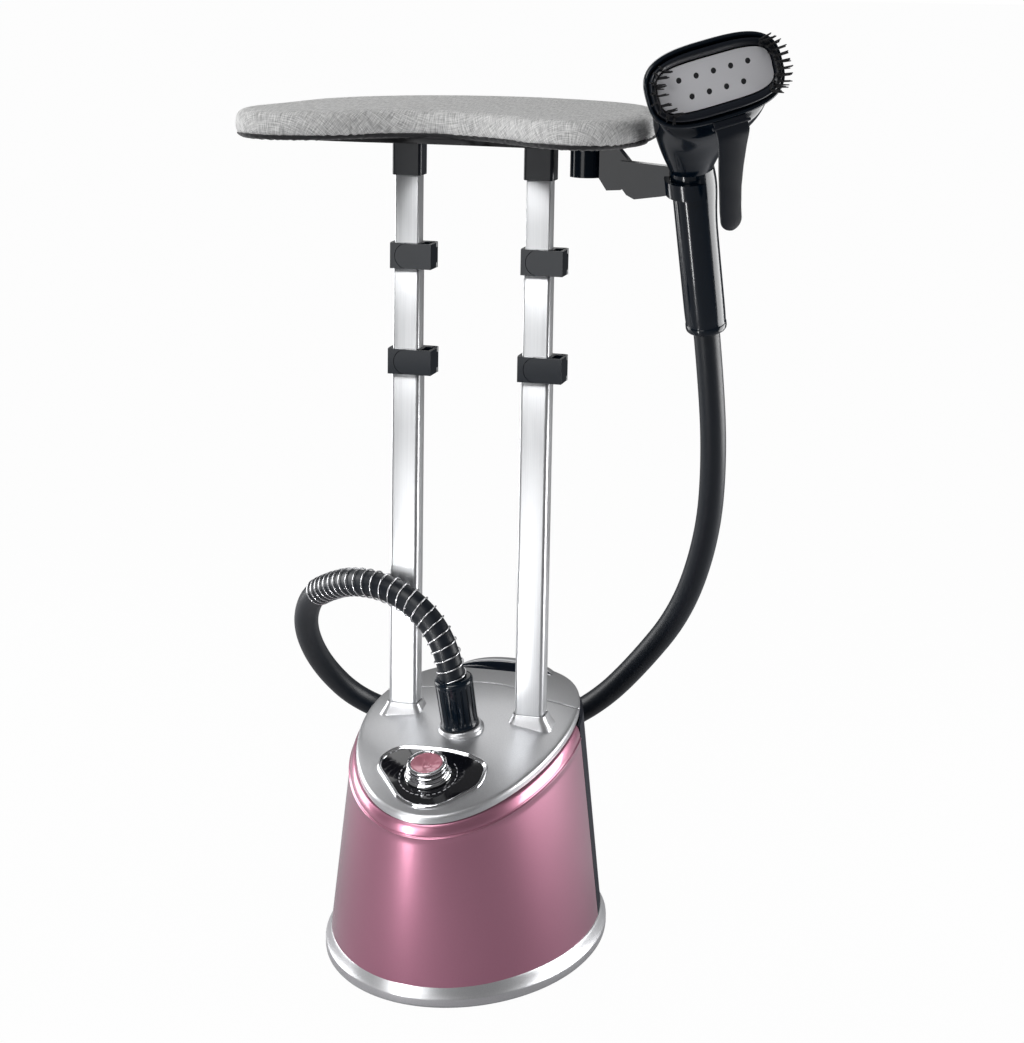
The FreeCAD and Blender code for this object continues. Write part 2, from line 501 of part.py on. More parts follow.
def make_poles():
    pins = {"lower": [], "upper": []}
    lower, middle = (LOWER_W, LOWER_D, LOWER_R), (MIDDLE_W, MIDDLE_D, MIDDLE_R)
    upper = (UPPER_W, UPPER_D, UPPER_R)
    stages = {"lower": (CLAMP_LOWER_Z, lower, middle), "upper": (CLAMP_UPPER_Z, middle, upper)}
    for side, x in (("left", -POLE_X), ("right", POLE_X)):
        save(f"lower_tube_{side}", square_tube(*lower, LOWER_BOTTOM, LOWER_TOP - 0.1, x))
        save(f"middle_tube_{side}", square_tube(*middle, MIDDLE_BOTTOM, MIDDLE_TOP - 0.1, x))
        save(f"upper_tube_{side}", square_tube(*upper, UPPER_BOTTOM, UPPER_TOP, x))
        for stage, (z, tube, lip) in stages.items():
            block, lever, pin = clamp_body(x, z, tube, lip)
            save(f"{stage}_clamp_{side}", block)
            save(f"{stage}_lever_{side}", lever)
            pins[stage].append(pin)
        cap = rounded_bar(CAP_W, CAP_D, 3.5, CAP_BOTTOM, BOARD_UNDER - 0.05, x, POLE_Y)
        tube_way = (UPPER_W + 0.1, UPPER_D + 0.1, UPPER_R)
        recess = rounded_bar(*tube_way, CAP_BOTTOM - 1, UPPER_TOP + 0.05, x, POLE_Y)
        save(f"cap_{side}", cap.cut(recess))
    for stage, solids in pins.items():
        save(f"{stage}_clamp_pins", solids)


# ---------------------------------------------------------------- board and handset holder
def board_outline(edge, inset, z):
    """An edge of the board, moved in towards the middle by roughly inset."""
    points = []
    for x, y in edge:
        r = math.hypot(x, y)
        points.append(V(x * (1 - inset / r), y * (1 - inset / r), z))
    return smooth_wire(points)


def make_board():
    tray = Part.Face(board_outline(TRAY_EDGE, 0, BOARD_UNDER))
    save("board_tray", tray.extrude(V(0, 0, BOARD_TRAY_TOP - BOARD_UNDER)))
    pad = Part.Face(board_outline(BOARD_EDGE, 1.5, BOARD_TRAY_TOP))
    save("board_cover", pad.extrude(V(0, 0, BOARD_TOP - BOARD_TRAY_TOP)))


def make_holder():
    """A boss under the board, a scooped arm in two steps and an open ring that the handset's neck sits in."""
    boss = cylinder(16, (ARM_X, POLE_Y, 812), (ARM_X, POLE_Y, BOARD_UNDER - 0.05))
    near = [(ARM_X, 842.9), (146, 842.9), (158, 829), (160, 806), (150, 801), (136, 800), (128, 812)]
    near.append((ARM_X, 812))
    far = [(150, 830), (206, 826), (206, 800), (192, 797), (165, 793), (157, 797), (150, 806)]
    holder = boss
    for outline, y0 in ((near, POLE_Y - 7), (far, POLE_Y - 12)):
        wire = Part.makePolygon([V(x, y0, z) for x, z in outline + outline[:1]])
        holder = holder.fuse(Part.Face(wire).extrude(V(0, 15, 0)))
    round_fork = (tuple(FORK), tuple(HANDLE_UP))
    neck_way = turned([(0, -60), (FORK_R, -60), (FORK_R, 60), (0, 60)], *round_fork)
    ring = turned([(FORK_R, -8), (FORK_R + 5, -8), (FORK_R + 5, 8), (FORK_R, 8)], *round_fork)
    mouth = box(0, 60, -MOUTH_HALF, MOUTH_HALF, -30, 30)
    mouth.Placement = FreeCAD.Placement(FORK, FreeCAD.Rotation(V(0, 0, 1), HANDLE_UP))
    save("handset_holder", holder.cut(neck_way).fuse(ring).cut(mouth))


# ---------------------------------------------------------------- handset
def oval_section(half_x, half_y, centre, tilt, power=2.0, count=24):
    """A closed smooth section |x/a|^p + |y/b|^p = 1, turned back by tilt degrees from level about X."""
    points = []
    c, s = math.cos(math.radians(tilt)), math.sin(math.radians(tilt))
    for k in range(count):
        t = 2 * math.pi * k / count
        x = half_x * math.copysign(abs(math.cos(t)) ** (2 / power), math.cos(t))
        y = half_y * math.copysign(abs(math.sin(t)) ** (2 / power), math.sin(t))
        points.append(V(centre.x + x, centre.y + y * c, centre.z + y * s))
    return smooth_wire(points)


def head_directions():
    """Out of the steam plate, and up along it, in the handset's frame."""
    t = math.radians(HEAD_TILT)
    return V(0, -math.cos(t), math.sin(t)), V(0, math.sin(t), math.cos(t))


def head_sections(inset):
    """Sections of the head, from the neck to the rim."""
    out, _ = head_directions()
    rows = [
        (HANDLE_R, HANDLE_R, V(0, 0, NECK_Z), 0, 2.0),
        (31.0, 25.0, V(1, -5, NECK_Z + 22), 12, 2.1),
        (50.0, 29.0, V(8, -17, NECK_Z + 50), 32, 2.2),
        (60.0, 34.0, V(7, -36, NECK_Z + 80), 56, 2.5),
        (67.0, 37.0, HEAD_CENTRE - out * 16, 90 - HEAD_TILT, 2.8),
        (HEAD_HALF_LENGTH, HEAD_HALF_HEIGHT, HEAD_CENTRE - out * 4, 90 - HEAD_TILT, 3.0),
    ]
    return [oval_section(a - inset, b - inset, c, t, p) for a, b, c, t, p in rows]


def place(shape):
    """Move a handset piece from its own frame (Z up the handle, X along the plate) to the stand's frame."""
    up, side = V(HANDLE_UP).normalize(), V(HEAD_SIDE).normalize()
    back = up.cross(side)
    turn = FreeCAD.Matrix(side.x, back.x, up.x, HANDLE_FOOT.x,
                          side.y, back.y, up.y, HANDLE_FOOT.y,
                          side.z, back.z, up.z, HANDLE_FOOT.z, 0, 0, 0, 1)
    out = shape.copy()
    out.Placement = FreeCAD.Placement(turn).multiply(out.Placement)
    return out


def plate_slab(a, b, power, low, high):
    """A flat plate in the head's plane, from low to high along its outward normal."""
    out, _ = head_directions()
    wire = oval_section(a, b, HEAD_CENTRE + out * low, 90 - HEAD_TILT, power, 32)
    return Part.Face(wire).extrude(out * (high - low))


def in_head(u, v, w):
    """A point given along the plate, up the plate and out of it, in the handset's frame."""
    out, up = head_directions()
    return HEAD_CENTRE + V(u, 0, 0) + up * v + out * w


def make_handset():
    foot = HANDLE_START
    grip = turned([(14, foot), (21, foot), (21, foot + 7), (HANDLE_R, foot + 8), (HANDLE_R, NECK_Z),
                   (HANDLE_BORE, NECK_Z), (HANDLE_BORE, foot + 6), (14, foot + 6)], (0, 0, 0), (0, 0, 1))
    rear = box(-40, 40, 0, 40, -5, 300)
    save("handle_rear", place(grip.common(rear)))
    save("handle_front", place(grip.cut(box(-40, 40, -0.05, 40, -5, 300))))

    outer, inner = Part.makeLoft(head_sections(0), True), Part.makeLoft(head_sections(2.5), True)
    save("head_shell", place(outer.cut(inner)))
    pipe, _ = rounded_path([(0, 0, 60), (0, 0, 130), (0, -8, 195), (0, -36, 238)])
    save("steam_tube", place(tube_along(pipe, 5.0)))

    plate = plate_slab(PLATE_HALF_LENGTH, PLATE_HALF_HEIGHT, PLATE_POWER, -6, -1)
    upper_row = [(HOLE_PITCH * k, HOLE_ROWS / 2) for k in range(-2, 3)]
    lower_row = [(HOLE_PITCH * (k + 0.5), -HOLE_ROWS / 2) for k in range(-2, 2)]
    for u, v in upper_row + lower_row:
        plate = plate.cut(cylinder(HOLE_R, tuple(in_head(u, v, -9)), tuple(in_head(u, v, 2))))
    chamber = plate_slab(PLATE_HALF_LENGTH - 9, PLATE_HALF_HEIGHT - 5, 2.6, -15, -5.9)
    save("steam_plate", place(plate.fuse(chamber)))

    frame = plate_slab(FRAME_HALF_LENGTH, FRAME_HALF_HEIGHT, 3.0, -6, 2.5)
    frame = frame.cut(plate_slab(PLATE_HALF_LENGTH + 1, PLATE_HALF_HEIGHT + 1, PLATE_POWER, -20, 9))
    below, pin = -HEAD_HALF_HEIGHT, in_head(0, -HEAD_HALF_HEIGHT - 5.5, -1)
    lug = [(below + 8, -3.7), (below + 8, 2.4), (below - 2, 2.4), (below - 9, 1.5), (below - 9, -4.5),
           (below - 2.5, -4.5), (below - 0.7, -3.7)]
    pin_way = cylinder(PIN_R - 0.15, (LEVER_X - 30, pin.y, pin.z), (LEVER_X + 30, pin.y, pin.z))
    for x in (LEVER_X - LEVER_HALF - LUG_GAP - LUG_T, LEVER_X + LEVER_HALF + LUG_GAP):
        wire = Part.makePolygon([in_head(x - HEAD_CENTRE.x, v, w) for v, w in lug + lug[:1]])
        frame = frame.fuse(Part.Face(wire).extrude(V(LUG_T, 0, 0)))
    save("brush_frame", place(frame.cut(pin_way)))
    tufts = []
    for end, count in TUFT_COUNTS:
        for k in range(count):
            angle = math.radians(TUFT_SWEEP * (2 * k / (count - 1) - 1))
            u = end * (PLATE_HALF_LENGTH - 16 + 20 * math.cos(angle))
            v = TUFT_RISE * math.sin(angle)
            tufts.append(cylinder(TUFT_R, tuple(in_head(u, v, 2.52)), tuple(in_head(u, v, BRISTLE))))
    save("brush_bristles", [place(t) for t in tufts])

    # The crease lever hangs in front of the handle from a pin under the head's rim.
    reach = LEVER_HALF + LUG_GAP + LUG_T
    ends = [(LEVER_X - reach, pin.y, pin.z), (LEVER_X + reach, pin.y, pin.z)]
    save("lever_pin", place(cylinder(PIN_R - 0.2, *ends)))
    fold, tip = pin + V(0, -4, -8), pin + V(0, -1, -LEVER_DROPS[-1][0])
    outline = [pin + V(0, -3, 0), fold, tip, tip + V(0, 3, 0), fold + V(0, 3.2, 1)]
    outline += [pin + V(0, 3, -2), pin + V(0, 3, 0)]
    side_view = Part.Face(Part.makePolygon(outline + outline[:1])).extrude(V(80, 0, 0))
    side_view.translate(V(-40 - pin.x, 0, 0))
    left = [(low, pin.z - drop) for drop, low, _ in LEVER_DROPS]
    right = [(high, pin.z - drop) for drop, _, high in reversed(LEVER_DROPS)]
    wire = Part.makePolygon([V(x, pin.y - 40, z) for x, z in left + right + left[:1]])
    blade = side_view.common(Part.Face(wire).extrude(V(0, 80, 0)))
    hub = cylinder(3.4, (LEVER_X - LEVER_HALF, pin.y, pin.z), (LEVER_X + LEVER_HALF, pin.y, pin.z))
    blade = blade.fuse(hub)
    save("crease_lever", place(blade.cut(pin_way)))
    hinge = place(Part.Vertex(pin)).Point
    print("crease lever's hinge:", tuple(round(c, 2) for c in hinge), "axis:", tuple(HEAD_SIDE))


make_base()
make_deck()
make_knob()
make_steam_path()
make_tank()
make_poles()
make_board()
make_holder()
make_handset()
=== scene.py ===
# %% [markdown]
# # A garment steamer
#
# The steamer has an oval base with a water tank, two telescopic poles, a padded pressing board and a steam
# handset that hangs in a fork and is fed by a hose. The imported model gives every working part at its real
# size. This lesson gives each part its visible surface and finish. Positions are in metres, +Z is up and the
# control panel faces -Y.

# %% Load the frame
import math
from contextlib import contextmanager

import bmesh
import bpy
import numpy as np
from mathutils import Matrix, Vector


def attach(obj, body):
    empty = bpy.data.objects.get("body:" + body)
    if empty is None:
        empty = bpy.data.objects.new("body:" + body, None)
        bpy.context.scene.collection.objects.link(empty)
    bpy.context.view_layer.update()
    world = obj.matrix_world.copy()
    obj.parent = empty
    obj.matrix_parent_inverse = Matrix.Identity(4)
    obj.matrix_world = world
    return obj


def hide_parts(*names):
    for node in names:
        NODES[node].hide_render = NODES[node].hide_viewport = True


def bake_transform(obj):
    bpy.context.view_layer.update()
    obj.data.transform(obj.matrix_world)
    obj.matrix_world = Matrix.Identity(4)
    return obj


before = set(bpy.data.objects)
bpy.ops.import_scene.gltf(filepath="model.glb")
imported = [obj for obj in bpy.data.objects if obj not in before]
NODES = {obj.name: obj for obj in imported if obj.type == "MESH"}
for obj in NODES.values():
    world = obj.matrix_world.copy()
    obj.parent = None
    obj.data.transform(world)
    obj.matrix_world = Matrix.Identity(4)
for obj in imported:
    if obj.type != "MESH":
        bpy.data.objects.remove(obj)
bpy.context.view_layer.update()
MM = 0.001
TAU = 2 * math.pi
rng = np.random.default_rng(7)


def new_object(name, data):
    obj = bpy.data.objects.new(name, data)
    bpy.context.scene.collection.objects.link(obj)
    return obj

# %% [markdown]
# ## Camera
#
# A long lens stands a little to the right of the control panel, at the height of the board, and looks
# slightly down. The vertical lines stay nearly upright because most of the downward view comes from the
# lens shift, which slides the picture without tilting the camera.

# %% The camera
YAW, PITCH, ROLL = 0.257, 0.191, 0.017
EYE = (0.606, -2.158, 1.031)
camera = new_object("camera", bpy.data.cameras.new("camera"))
bpy.context.scene.camera = camera
camera.data.lens = 77.2
camera.data.shift_y = -0.1343
camera.data.clip_end = 50
forward = Vector((-math.sin(YAW) * math.cos(PITCH), math.cos(YAW) * math.cos(PITCH), -math.sin(PITCH)))
level = Vector((math.cos(YAW), math.sin(YAW), 0.0))
upright = level.cross(forward)
right = math.cos(ROLL) * level + math.sin(ROLL) * upright
above = -math.sin(ROLL) * level + math.cos(ROLL) * upright
turn = Matrix((right, above, -forward)).transposed().to_4x4()
camera.matrix_world = Matrix.Translation(EYE) @ turn
print("camera at", tuple(round(c, 3) for c in camera.location))

# %% [markdown]
# ## Meshes from formulas
#
# A surface is a function of two parameters, worked out as whole arrays. `grid_faces` numbers the quads of
# such a grid, closed round one way or both, and `mesh_object` puts points and faces into Blender.

# %% Grids, meshes and smooth edges
def xyz(x, y, z):
    """Points from three arrays or numbers that fit each other."""
    return np.stack(np.broadcast_arrays(x, y, z), axis=-1)


def full_turn(count):
    """Evenly spaced angles round a full turn."""
    return np.arange(count) * TAU / count


def grid_faces(rows, cols, close_cols=True, close_rows=False):
    """Quads of a rows x cols grid of points, row after row, wrapping round where it is closed."""
    r = np.arange(rows if close_rows else rows - 1)
    c = np.arange(cols if close_cols else cols - 1)
    r, c = (a.ravel() for a in np.meshgrid(r, c, indexing="ij"))
    r1, c1 = (r + 1) % rows, (c + 1) % cols
    return np.stack([r * cols + c, r * cols + c1, r1 * cols + c1, r1 * cols + c], axis=1)


def mesh_object(name, points, faces, smooth=60.0):
    """A mesh in the row frame, in metres. Edges sharper than smooth degrees stay crisp."""
    mesh = bpy.data.meshes.new(name)
    points = np.asarray(points, float).reshape(-1, 3).tolist()
    mesh.from_pydata(points, [], [list(map(int, face)) for face in faces])
    mesh.validate()
    return shade(new_object(name, mesh), smooth)


@contextmanager
def mesh_work(mesh):
    work = bmesh.new()
    work.from_mesh(mesh)
    yield work
    work.to_mesh(mesh)
    work.free()


def shade(obj, smooth):
    """Smooth shading, with every edge that folds more than the given angle marked sharp."""
    with mesh_work(obj.data) as work:
        for face in work.faces:
            face.smooth = True
        for edge in work.edges:
            edge.smooth = len(edge.link_faces) == 2 and edge.calc_face_angle(0) < math.radians(smooth)
    return obj


def outward(obj):
    """Turn every face outwards, after doubled points are merged."""
    with mesh_work(obj.data) as work:
        bmesh.ops.remove_doubles(work, verts=work.verts, dist=1e-6)
        bmesh.ops.recalc_face_normals(work, faces=work.faces)
    return obj


def skin(name, rows, caps=(True, True), smooth=50.0):
    """A closed tube of surface through rows of points. Each row is a closed loop. A fan closes each end."""
    rows = np.asarray(rows, float)
    count, around = rows.shape[:2]
    points = rows.reshape(-1, 3)
    faces = grid_faces(count, around).tolist()
    for wanted, first in ((caps[0], 0), (caps[1], (count - 1) * around)):
        if wanted:
            middle = len(points)
            points = np.vstack([points, points[first:first + around].mean(axis=0)])
            ring = np.arange(around)
            fan = np.stack([np.full(around, middle), first + ring, first + (ring + 1) % around], axis=1)
            faces += fan.tolist()
    return shade(outward(mesh_object(name, points, faces)), smooth)


def band(name, rows, smooth=60):
    """A closed ring of surface: the last loop joins the first."""
    rows = list(rows)
    return skin(name, rows + rows[:1], caps=(False, False), smooth=smooth)


def flat_sheet(name, rows, thickness, smooth=50, **settings):
    """An open sheet through rows of points, thickened by a Solidify modifier."""
    rows = np.array(rows)
    obj = mesh_object(name, rows, grid_faces(*rows.shape[:2], close_cols=False), smooth)
    thick = obj.modifiers.new("thickness", "SOLIDIFY")
    thick.thickness = thickness
    for key, value in settings.items():
        setattr(thick, key, value)
    return obj


def show(obj, material, slot, body, *nodes):
    """Give a new piece its material, let it ride on its body, and let it stand for CAD nodes. The slot is not
    used.
    """
    obj.data.materials.append(material)
    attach(obj, body)
    if nodes:
        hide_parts(*nodes)
    return obj


def frame_at(origin, axis):
    """The origin, two directions square to the axis, and the axis itself."""
    z = np.asarray(axis, float) / np.linalg.norm(axis)
    x = np.cross([0.0, 1.0, 0.0], z)
    x /= np.linalg.norm(x)
    return np.asarray(origin, float), x, np.cross(z, x), z


def turned(name, profile, origin, axis, around=96, smooth=35.0, flutes=None):
    """A surface of revolution. profile is (radius, height) pairs in mm: P = O + r cos t X + r sin t Y + h Z.
    flutes(t, r, h) may give the radius another value at each angle."""
    o, x, y, z = frame_at(origin, axis)
    r, h = np.array(profile, float).T * MM
    t = full_turn(around)
    radius = np.repeat(r[:, None], around, axis=1)
    if flutes is not None:
        radius = flutes(t[None, :], radius, h[:, None])
    wheel = np.cos(t)[:, None] * x + np.sin(t)[:, None] * y
    rows = o + radius[..., None] * wheel[None] + h[:, None, None] * z
    return skin(name, rows, smooth=smooth)


def arc(centre, radius, start, stop, count=6):
    """Points (radius, height) of a circular arc, angles in degrees, for use inside a profile."""
    a = np.radians(np.linspace(start, stop, count))
    return [(centre[0] + radius * math.cos(v), centre[1] + radius * math.sin(v)) for v in a]


print("helpers ready")

# %% [markdown]
# ## Finishes
#
# Every finish is a Principled shader. Two shader groups are shared. `fine_wear` breaks up a smooth surface
# with faint clouds in its gloss and a fine grain in its height. `brushed_lines` makes the long straight grain
# of an extruded and brushed tube. `fill` sets a node up, and links it where it is given another's output.

# %% Shader groups
def fill(made, **values):
    """in_N sets input N of a node, to a value or to another node's output. Other keywords set properties."""
    for key, value in values.items():
        if not key.startswith("in_"):
            setattr(made, key, value)
            continue
        label = key[3:].replace("_", " ")
        socket = made.inputs[int(label) if label.isdigit() else label]
        if isinstance(value, bpy.types.NodeSocket):
            made.id_data.links.new(value, socket)
        else:
            socket.default_value = value
    return made


def node(tree, kind, **values):
    return fill(tree.nodes.new("ShaderNode" + kind), **values)


def worked(tree, operation, a, b, **settings):
    """The output of a Math node on two numbers or outputs."""
    return node(tree, "Math", operation=operation, in_0=a, in_1=b, **settings).outputs[0]


def drawn_out(tree, where, factors):
    return node(tree, "VectorMath", operation="MULTIPLY", in_0=where, in_1=factors).outputs[0]


def noise(tree, where, scale, detail, roughness=0.5):
    return node(tree, "TexNoise", in_Vector=where, in_Scale=scale, in_Detail=detail,
                in_Roughness=roughness).outputs["Fac"]


def new_group(name, inputs, outputs):
    """A group with a Vector and the given numbers as inputs, numbers as outputs, and its two ends."""
    group = bpy.data.node_groups.new(name, "ShaderNodeTree")
    group.interface.new_socket("Vector", in_out="INPUT", socket_type="NodeSocketVector")
    for label, value in inputs.items():
        group.interface.new_socket(label, in_out="INPUT", socket_type="NodeSocketFloat").default_value = value
    for label in outputs:
        group.interface.new_socket(label, in_out="OUTPUT", socket_type="NodeSocketFloat")
    return group, group.nodes.new("NodeGroupInput").outputs, group.nodes.new("NodeGroupOutput")


def varied(group, source, fac):
    """Roughness + Amount (fac - 0.5), held between 0 and 1."""
    swing = worked(group, "MULTIPLY", worked(group, "SUBTRACT", fac, 0.5), source["Amount"])
    return worked(group, "ADD", source["Roughness"], swing, use_clamp=True)


def build_fine_wear():
    """Roughness and bump height for moulded and painted faces: soft clouds, and a fine grain."""
    group, source, sink = new_group(
        "fine_wear", {"Roughness": 0.3, "Amount": 0.08, "Scale": 40.0}, ("Roughness", "Height"))
    cloud = noise(group, source["Vector"], source["Scale"], 4.0, 0.6)
    fine = noise(group, source["Vector"], 900.0, 2.0)
    fill(sink, in_Roughness=varied(group, source, cloud), in_Height=fine)
    return group


def build_brushed_lines():
    """Grain drawn out along Z: noise read with Z squeezed 140 times, as roughness, shade and height."""
    group, source, sink = new_group(
        "brushed_lines", {"Roughness": 0.3, "Amount": 0.2, "Density": 1600.0},
        ("Roughness", "Shade", "Height"))
    grain = noise(group, drawn_out(group, source["Vector"], (1.0, 1.0, 0.007)), source["Density"], 3.0, 0.7)
    fill(sink, in_Roughness=varied(group, source, grain), in_Shade=grain, in_Height=grain)
    return group


FINE_WEAR = build_fine_wear()
BRUSHED = build_brushed_lines()
print("groups:", [g.name for g in bpy.data.node_groups])


# %% Materials made from the groups
def base_material(name, **sockets):
    material = bpy.data.materials.new(name)
    material.use_nodes = True
    shader = material.node_tree.nodes["Principled BSDF"]
    fill(shader, **{"in_" + label: value for label, value in sockets.items()})
    return material, material.node_tree, shader


def placed_group(tree, group, **numbers):
    """The outputs of a shared group that is laid on the object's own coordinates."""
    where = node(tree, "TexCoord").outputs["Object"]
    inputs = {"in_" + label: value for label, value in numbers.items()}
    return node(tree, "Group", node_tree=group, in_Vector=where, **inputs).outputs


def bumped(tree, height, strength, distance):
    return node(tree, "Bump", in_Strength=strength, in_Distance=distance, in_Height=height).outputs["Normal"]


def ramp(tree, fac, colours, positions=(0.0, 1.0)):
    """A colour that runs between two colours, from one position of fac to the other."""
    made = node(tree, "ValToRGB", in_Fac=fac)
    for element, colour, position in zip(made.color_ramp.elements, colours, positions):
        element.color, element.position = (*colour, 1), position
    return made.outputs["Color"]


def moulded(name, colour, roughness=0.3, amount=0.08, scale=40.0, bump=0.02, **sockets):
    """A moulded or painted finish: one colour, with fine_wear in its roughness and bump."""
    material, tree, shader = base_material(name, Base_Color=(*colour, 1.0), **sockets)
    wear = placed_group(tree, FINE_WEAR, Roughness=roughness, Amount=amount, Scale=scale)
    fill(shader, in_Roughness=wear["Roughness"], in_Normal=bumped(tree, wear["Height"], bump, 0.0004))
    return material


def flake_paint(name, density, colours, roughness, amount, scale, bump=0.0, **sockets):
    """Metallic paint: fine flakes between two tints, under a clear coat."""
    material, tree, shader = base_material(name, Metallic=0.85, **sockets)
    where = node(tree, "TexCoord").outputs["Object"]
    flakes = node(tree, "TexVoronoi", in_Vector=where, in_Scale=density).outputs
    wear = placed_group(tree, FINE_WEAR, Roughness=roughness, Amount=amount, Scale=scale)
    fill(shader, in_Base_Color=ramp(tree, flakes["Color"], colours), in_Roughness=wear["Roughness"])
    if bump:
        fill(shader, in_Normal=bumped(tree, flakes["Distance"], bump, 0.0002))
    return material


def brushed_aluminium():
    """Anodised aluminium tube with its grain along the length."""
    material, tree, shader = base_material("brushed_aluminium", Metallic=1.0)
    grain = placed_group(tree, BRUSHED, Roughness=0.34, Amount=0.22, Density=1500.0)
    fill(shader, in_Base_Color=ramp(tree, grain["Shade"], ((0.62, 0.63, 0.65), (0.84, 0.85, 0.86))),
         in_Roughness=grain["Roughness"], in_Normal=bumped(tree, grain["Height"], 0.12, 0.0002))
    return material


# The pink's roughness stays well above 0.28. Where it crosses that value the denoiser draws contour lines.
PINK = flake_paint("pearl_pink", 2600.0, ((0.505, 0.208, 0.302), (0.535, 0.222, 0.320)), 0.31, 0.04, 18.0,
                   Coat_Weight=0.9, Coat_Roughness=0.05, Coat_IOR=1.5)
SILVER = flake_paint("silver_paint", 3200.0, ((0.50, 0.505, 0.52), (0.66, 0.665, 0.68)), 0.36, 0.05, 25.0,
                     bump=0.03, Coat_Weight=0.35, Coat_Roughness=0.18)
ALUMINIUM = brushed_aluminium()
# Each finish: colour, roughness, how far its roughness varies, the size of the clouds, bump.
BLACK_GLOSS = moulded("black_gloss", (0.0015, 0.0055, 0.0115), 0.17, 0.08, 30.0, 0.02,
                      Specular_IOR_Level=0.3, Coat_Weight=0.25, Coat_Roughness=0.06)
BLACK_SATIN = moulded("black_satin", (0.0055, 0.0080, 0.0135), 0.34, 0.10, 60.0, 0.05, Specular_IOR_Level=0.4)
BLACK_MATT = moulded("black_matt", (0.010, 0.010, 0.012), 0.6, 0.12, 80.0, 0.2)
HOSE_RUBBER = moulded("hose_rubber", (0.0040, 0.0070, 0.0120), 0.40, 0.12, 30.0, 0.05,
                      Sheen_Weight=0.02, Specular_IOR_Level=0.4)
CHROME = moulded("chrome", (0.78, 0.78, 0.80), 0.07, 0.04, 60.0, 0.0, Metallic=1.0)
STEEL = moulded("steel_wire", (0.72, 0.72, 0.74), 0.2, 0.08, 200.0, 0.02, Metallic=1.0)
PLATE = moulded("satin_plate", (0.76, 0.76, 0.79), 0.45, 0.08, 90.0, 0.04, Metallic=0.25)
PANEL_BLACK = moulded("panel_black", (0.004, 0.004, 0.006), 0.08, 0.03, 20.0, 0.0,
                      Coat_Weight=0.8, Coat_Roughness=0.03)
MARK = moulded("panel_mark", (0.42, 0.42, 0.44), 0.4, 0.05, 100.0, 0.0)
ROSE = moulded("rose_insert", (0.60, 0.235, 0.30), 0.14, 0.04, 30.0, 0.0,
               Metallic=0.35, Coat_Weight=1.0, Coat_Roughness=0.03)
SMOKE = moulded("smoke_tank", (0.012, 0.014, 0.022), 0.45, 0.05, 30.0, 0.0, Specular_IOR_Level=0.1)
CLEAR_RUBBER = moulded("pale_rubber", (0.45, 0.45, 0.42), 0.5, 0.1, 60.0, 0.1)
NAVY = moulded("navy_well", (0.012, 0.018, 0.030), 0.22, 0.08, 40.0, 0.0)
print("materials:", len(bpy.data.materials))

# %% [markdown]
# ## The hose
#
# The steam hose leaves the nut on the deck, turns over to the left, drops behind the base, swings round the
# back and rises to the handset. Its line is one smooth spline through the working model's route. A round
# tube is carried along that line. The line's directions are turned from point to point as little as
# possible, so that the tube has no twist.

# %% The hose's line
NUT_BASE = np.array((3.0, -49.0, 244.2)) * MM
NUT_AXIS = np.array((-0.09, -0.19, 0.977))
HANDLE_UP = np.array((-0.065, -0.303, 0.951))
HANDLE_SIDE = np.array((0.759, 0.602, 0.244))
FORK = np.array((222.0, -22.0, 811.0)) * MM
HANDLE_FOOT = FORK - HANDLE_UP * 0.163
HOSE_R = 13.3 * MM
HOSE_ROUTE = [
    tuple(NUT_BASE + NUT_AXIS * 0.0335), tuple(NUT_BASE + NUT_AXIS * 0.0815), (-0.030, -0.060, 0.364),
    (-0.071, -0.049, 0.385), (-0.118, -0.029, 0.384), (-0.159, 0.009, 0.364), (-0.198, 0.052, 0.336),
    (-0.222, 0.100, 0.284), (-0.222, 0.161, 0.221), (-0.195, 0.214, 0.165), (-0.135, 0.243, 0.139),
    (-0.055, 0.246, 0.133), (0.025, 0.242, 0.146), (0.088, 0.223, 0.190), (0.138, 0.190, 0.248),
    (0.194, 0.155, 0.327), (0.226, 0.115, 0.424), (0.237, 0.073, 0.520),
    tuple(HANDLE_FOOT - HANDLE_UP * 0.040), tuple(HANDLE_FOOT + HANDLE_UP * 0.042),
]


def spline_points(name, route, resolution=24):
    """Points of the quadratic NURBS spline whose control points are the route."""
    curve = bpy.data.curves.new(name, "CURVE")
    curve.dimensions = "3D"
    spline = curve.splines.new("NURBS")
    spline.points.add(len(route) - 1)
    spline.points.foreach_set("co", np.array([(*p, 1.0) for p in route], float).ravel())
    spline.order_u = 3
    spline.use_endpoint_u = True
    curve.resolution_u = resolution
    holder = new_object(name, curve)
    mesh = bpy.data.meshes.new_from_object(holder)
    points = np.array([v.co for v in mesh.vertices], float)
    bpy.data.objects.remove(holder)
    bpy.data.meshes.remove(mesh)
    return points


def along(points):
    """Distance along a line of points, from its start."""
    return np.concatenate([[0.0], np.cumsum(np.linalg.norm(np.diff(points, axis=0), axis=1))])


def read_at(at, s, values):
    """Each column of values, known at the distances s, read at other distances."""
    return np.stack([np.interp(at, s, column) for column in values.T], axis=-1)


def even(points, step):
    """The same line with points a step apart."""
    s = along(points)
    at = np.linspace(0, s[-1], max(2, int(round(s[-1] / step)) + 1))
    return read_at(at, s, points)


def carried_frames(points):
    """Tangent, and two directions square to it that turn as little as possible from point to point."""
    tangent = np.gradient(points, axis=0)
    tangent /= np.linalg.norm(tangent, axis=1)[:, None]
    side = np.cross(tangent[0], [0.0, 0.0, 1.0])
    if np.linalg.norm(side) < 0.1:
        side = np.cross(tangent[0], [0.0, 1.0, 0.0])
    sides = []
    for t in tangent:
        side = side - t * (side @ t)
        side /= np.linalg.norm(side)
        sides.append(side)
    sides = np.array(sides)
    return tangent, sides, np.cross(tangent, sides)


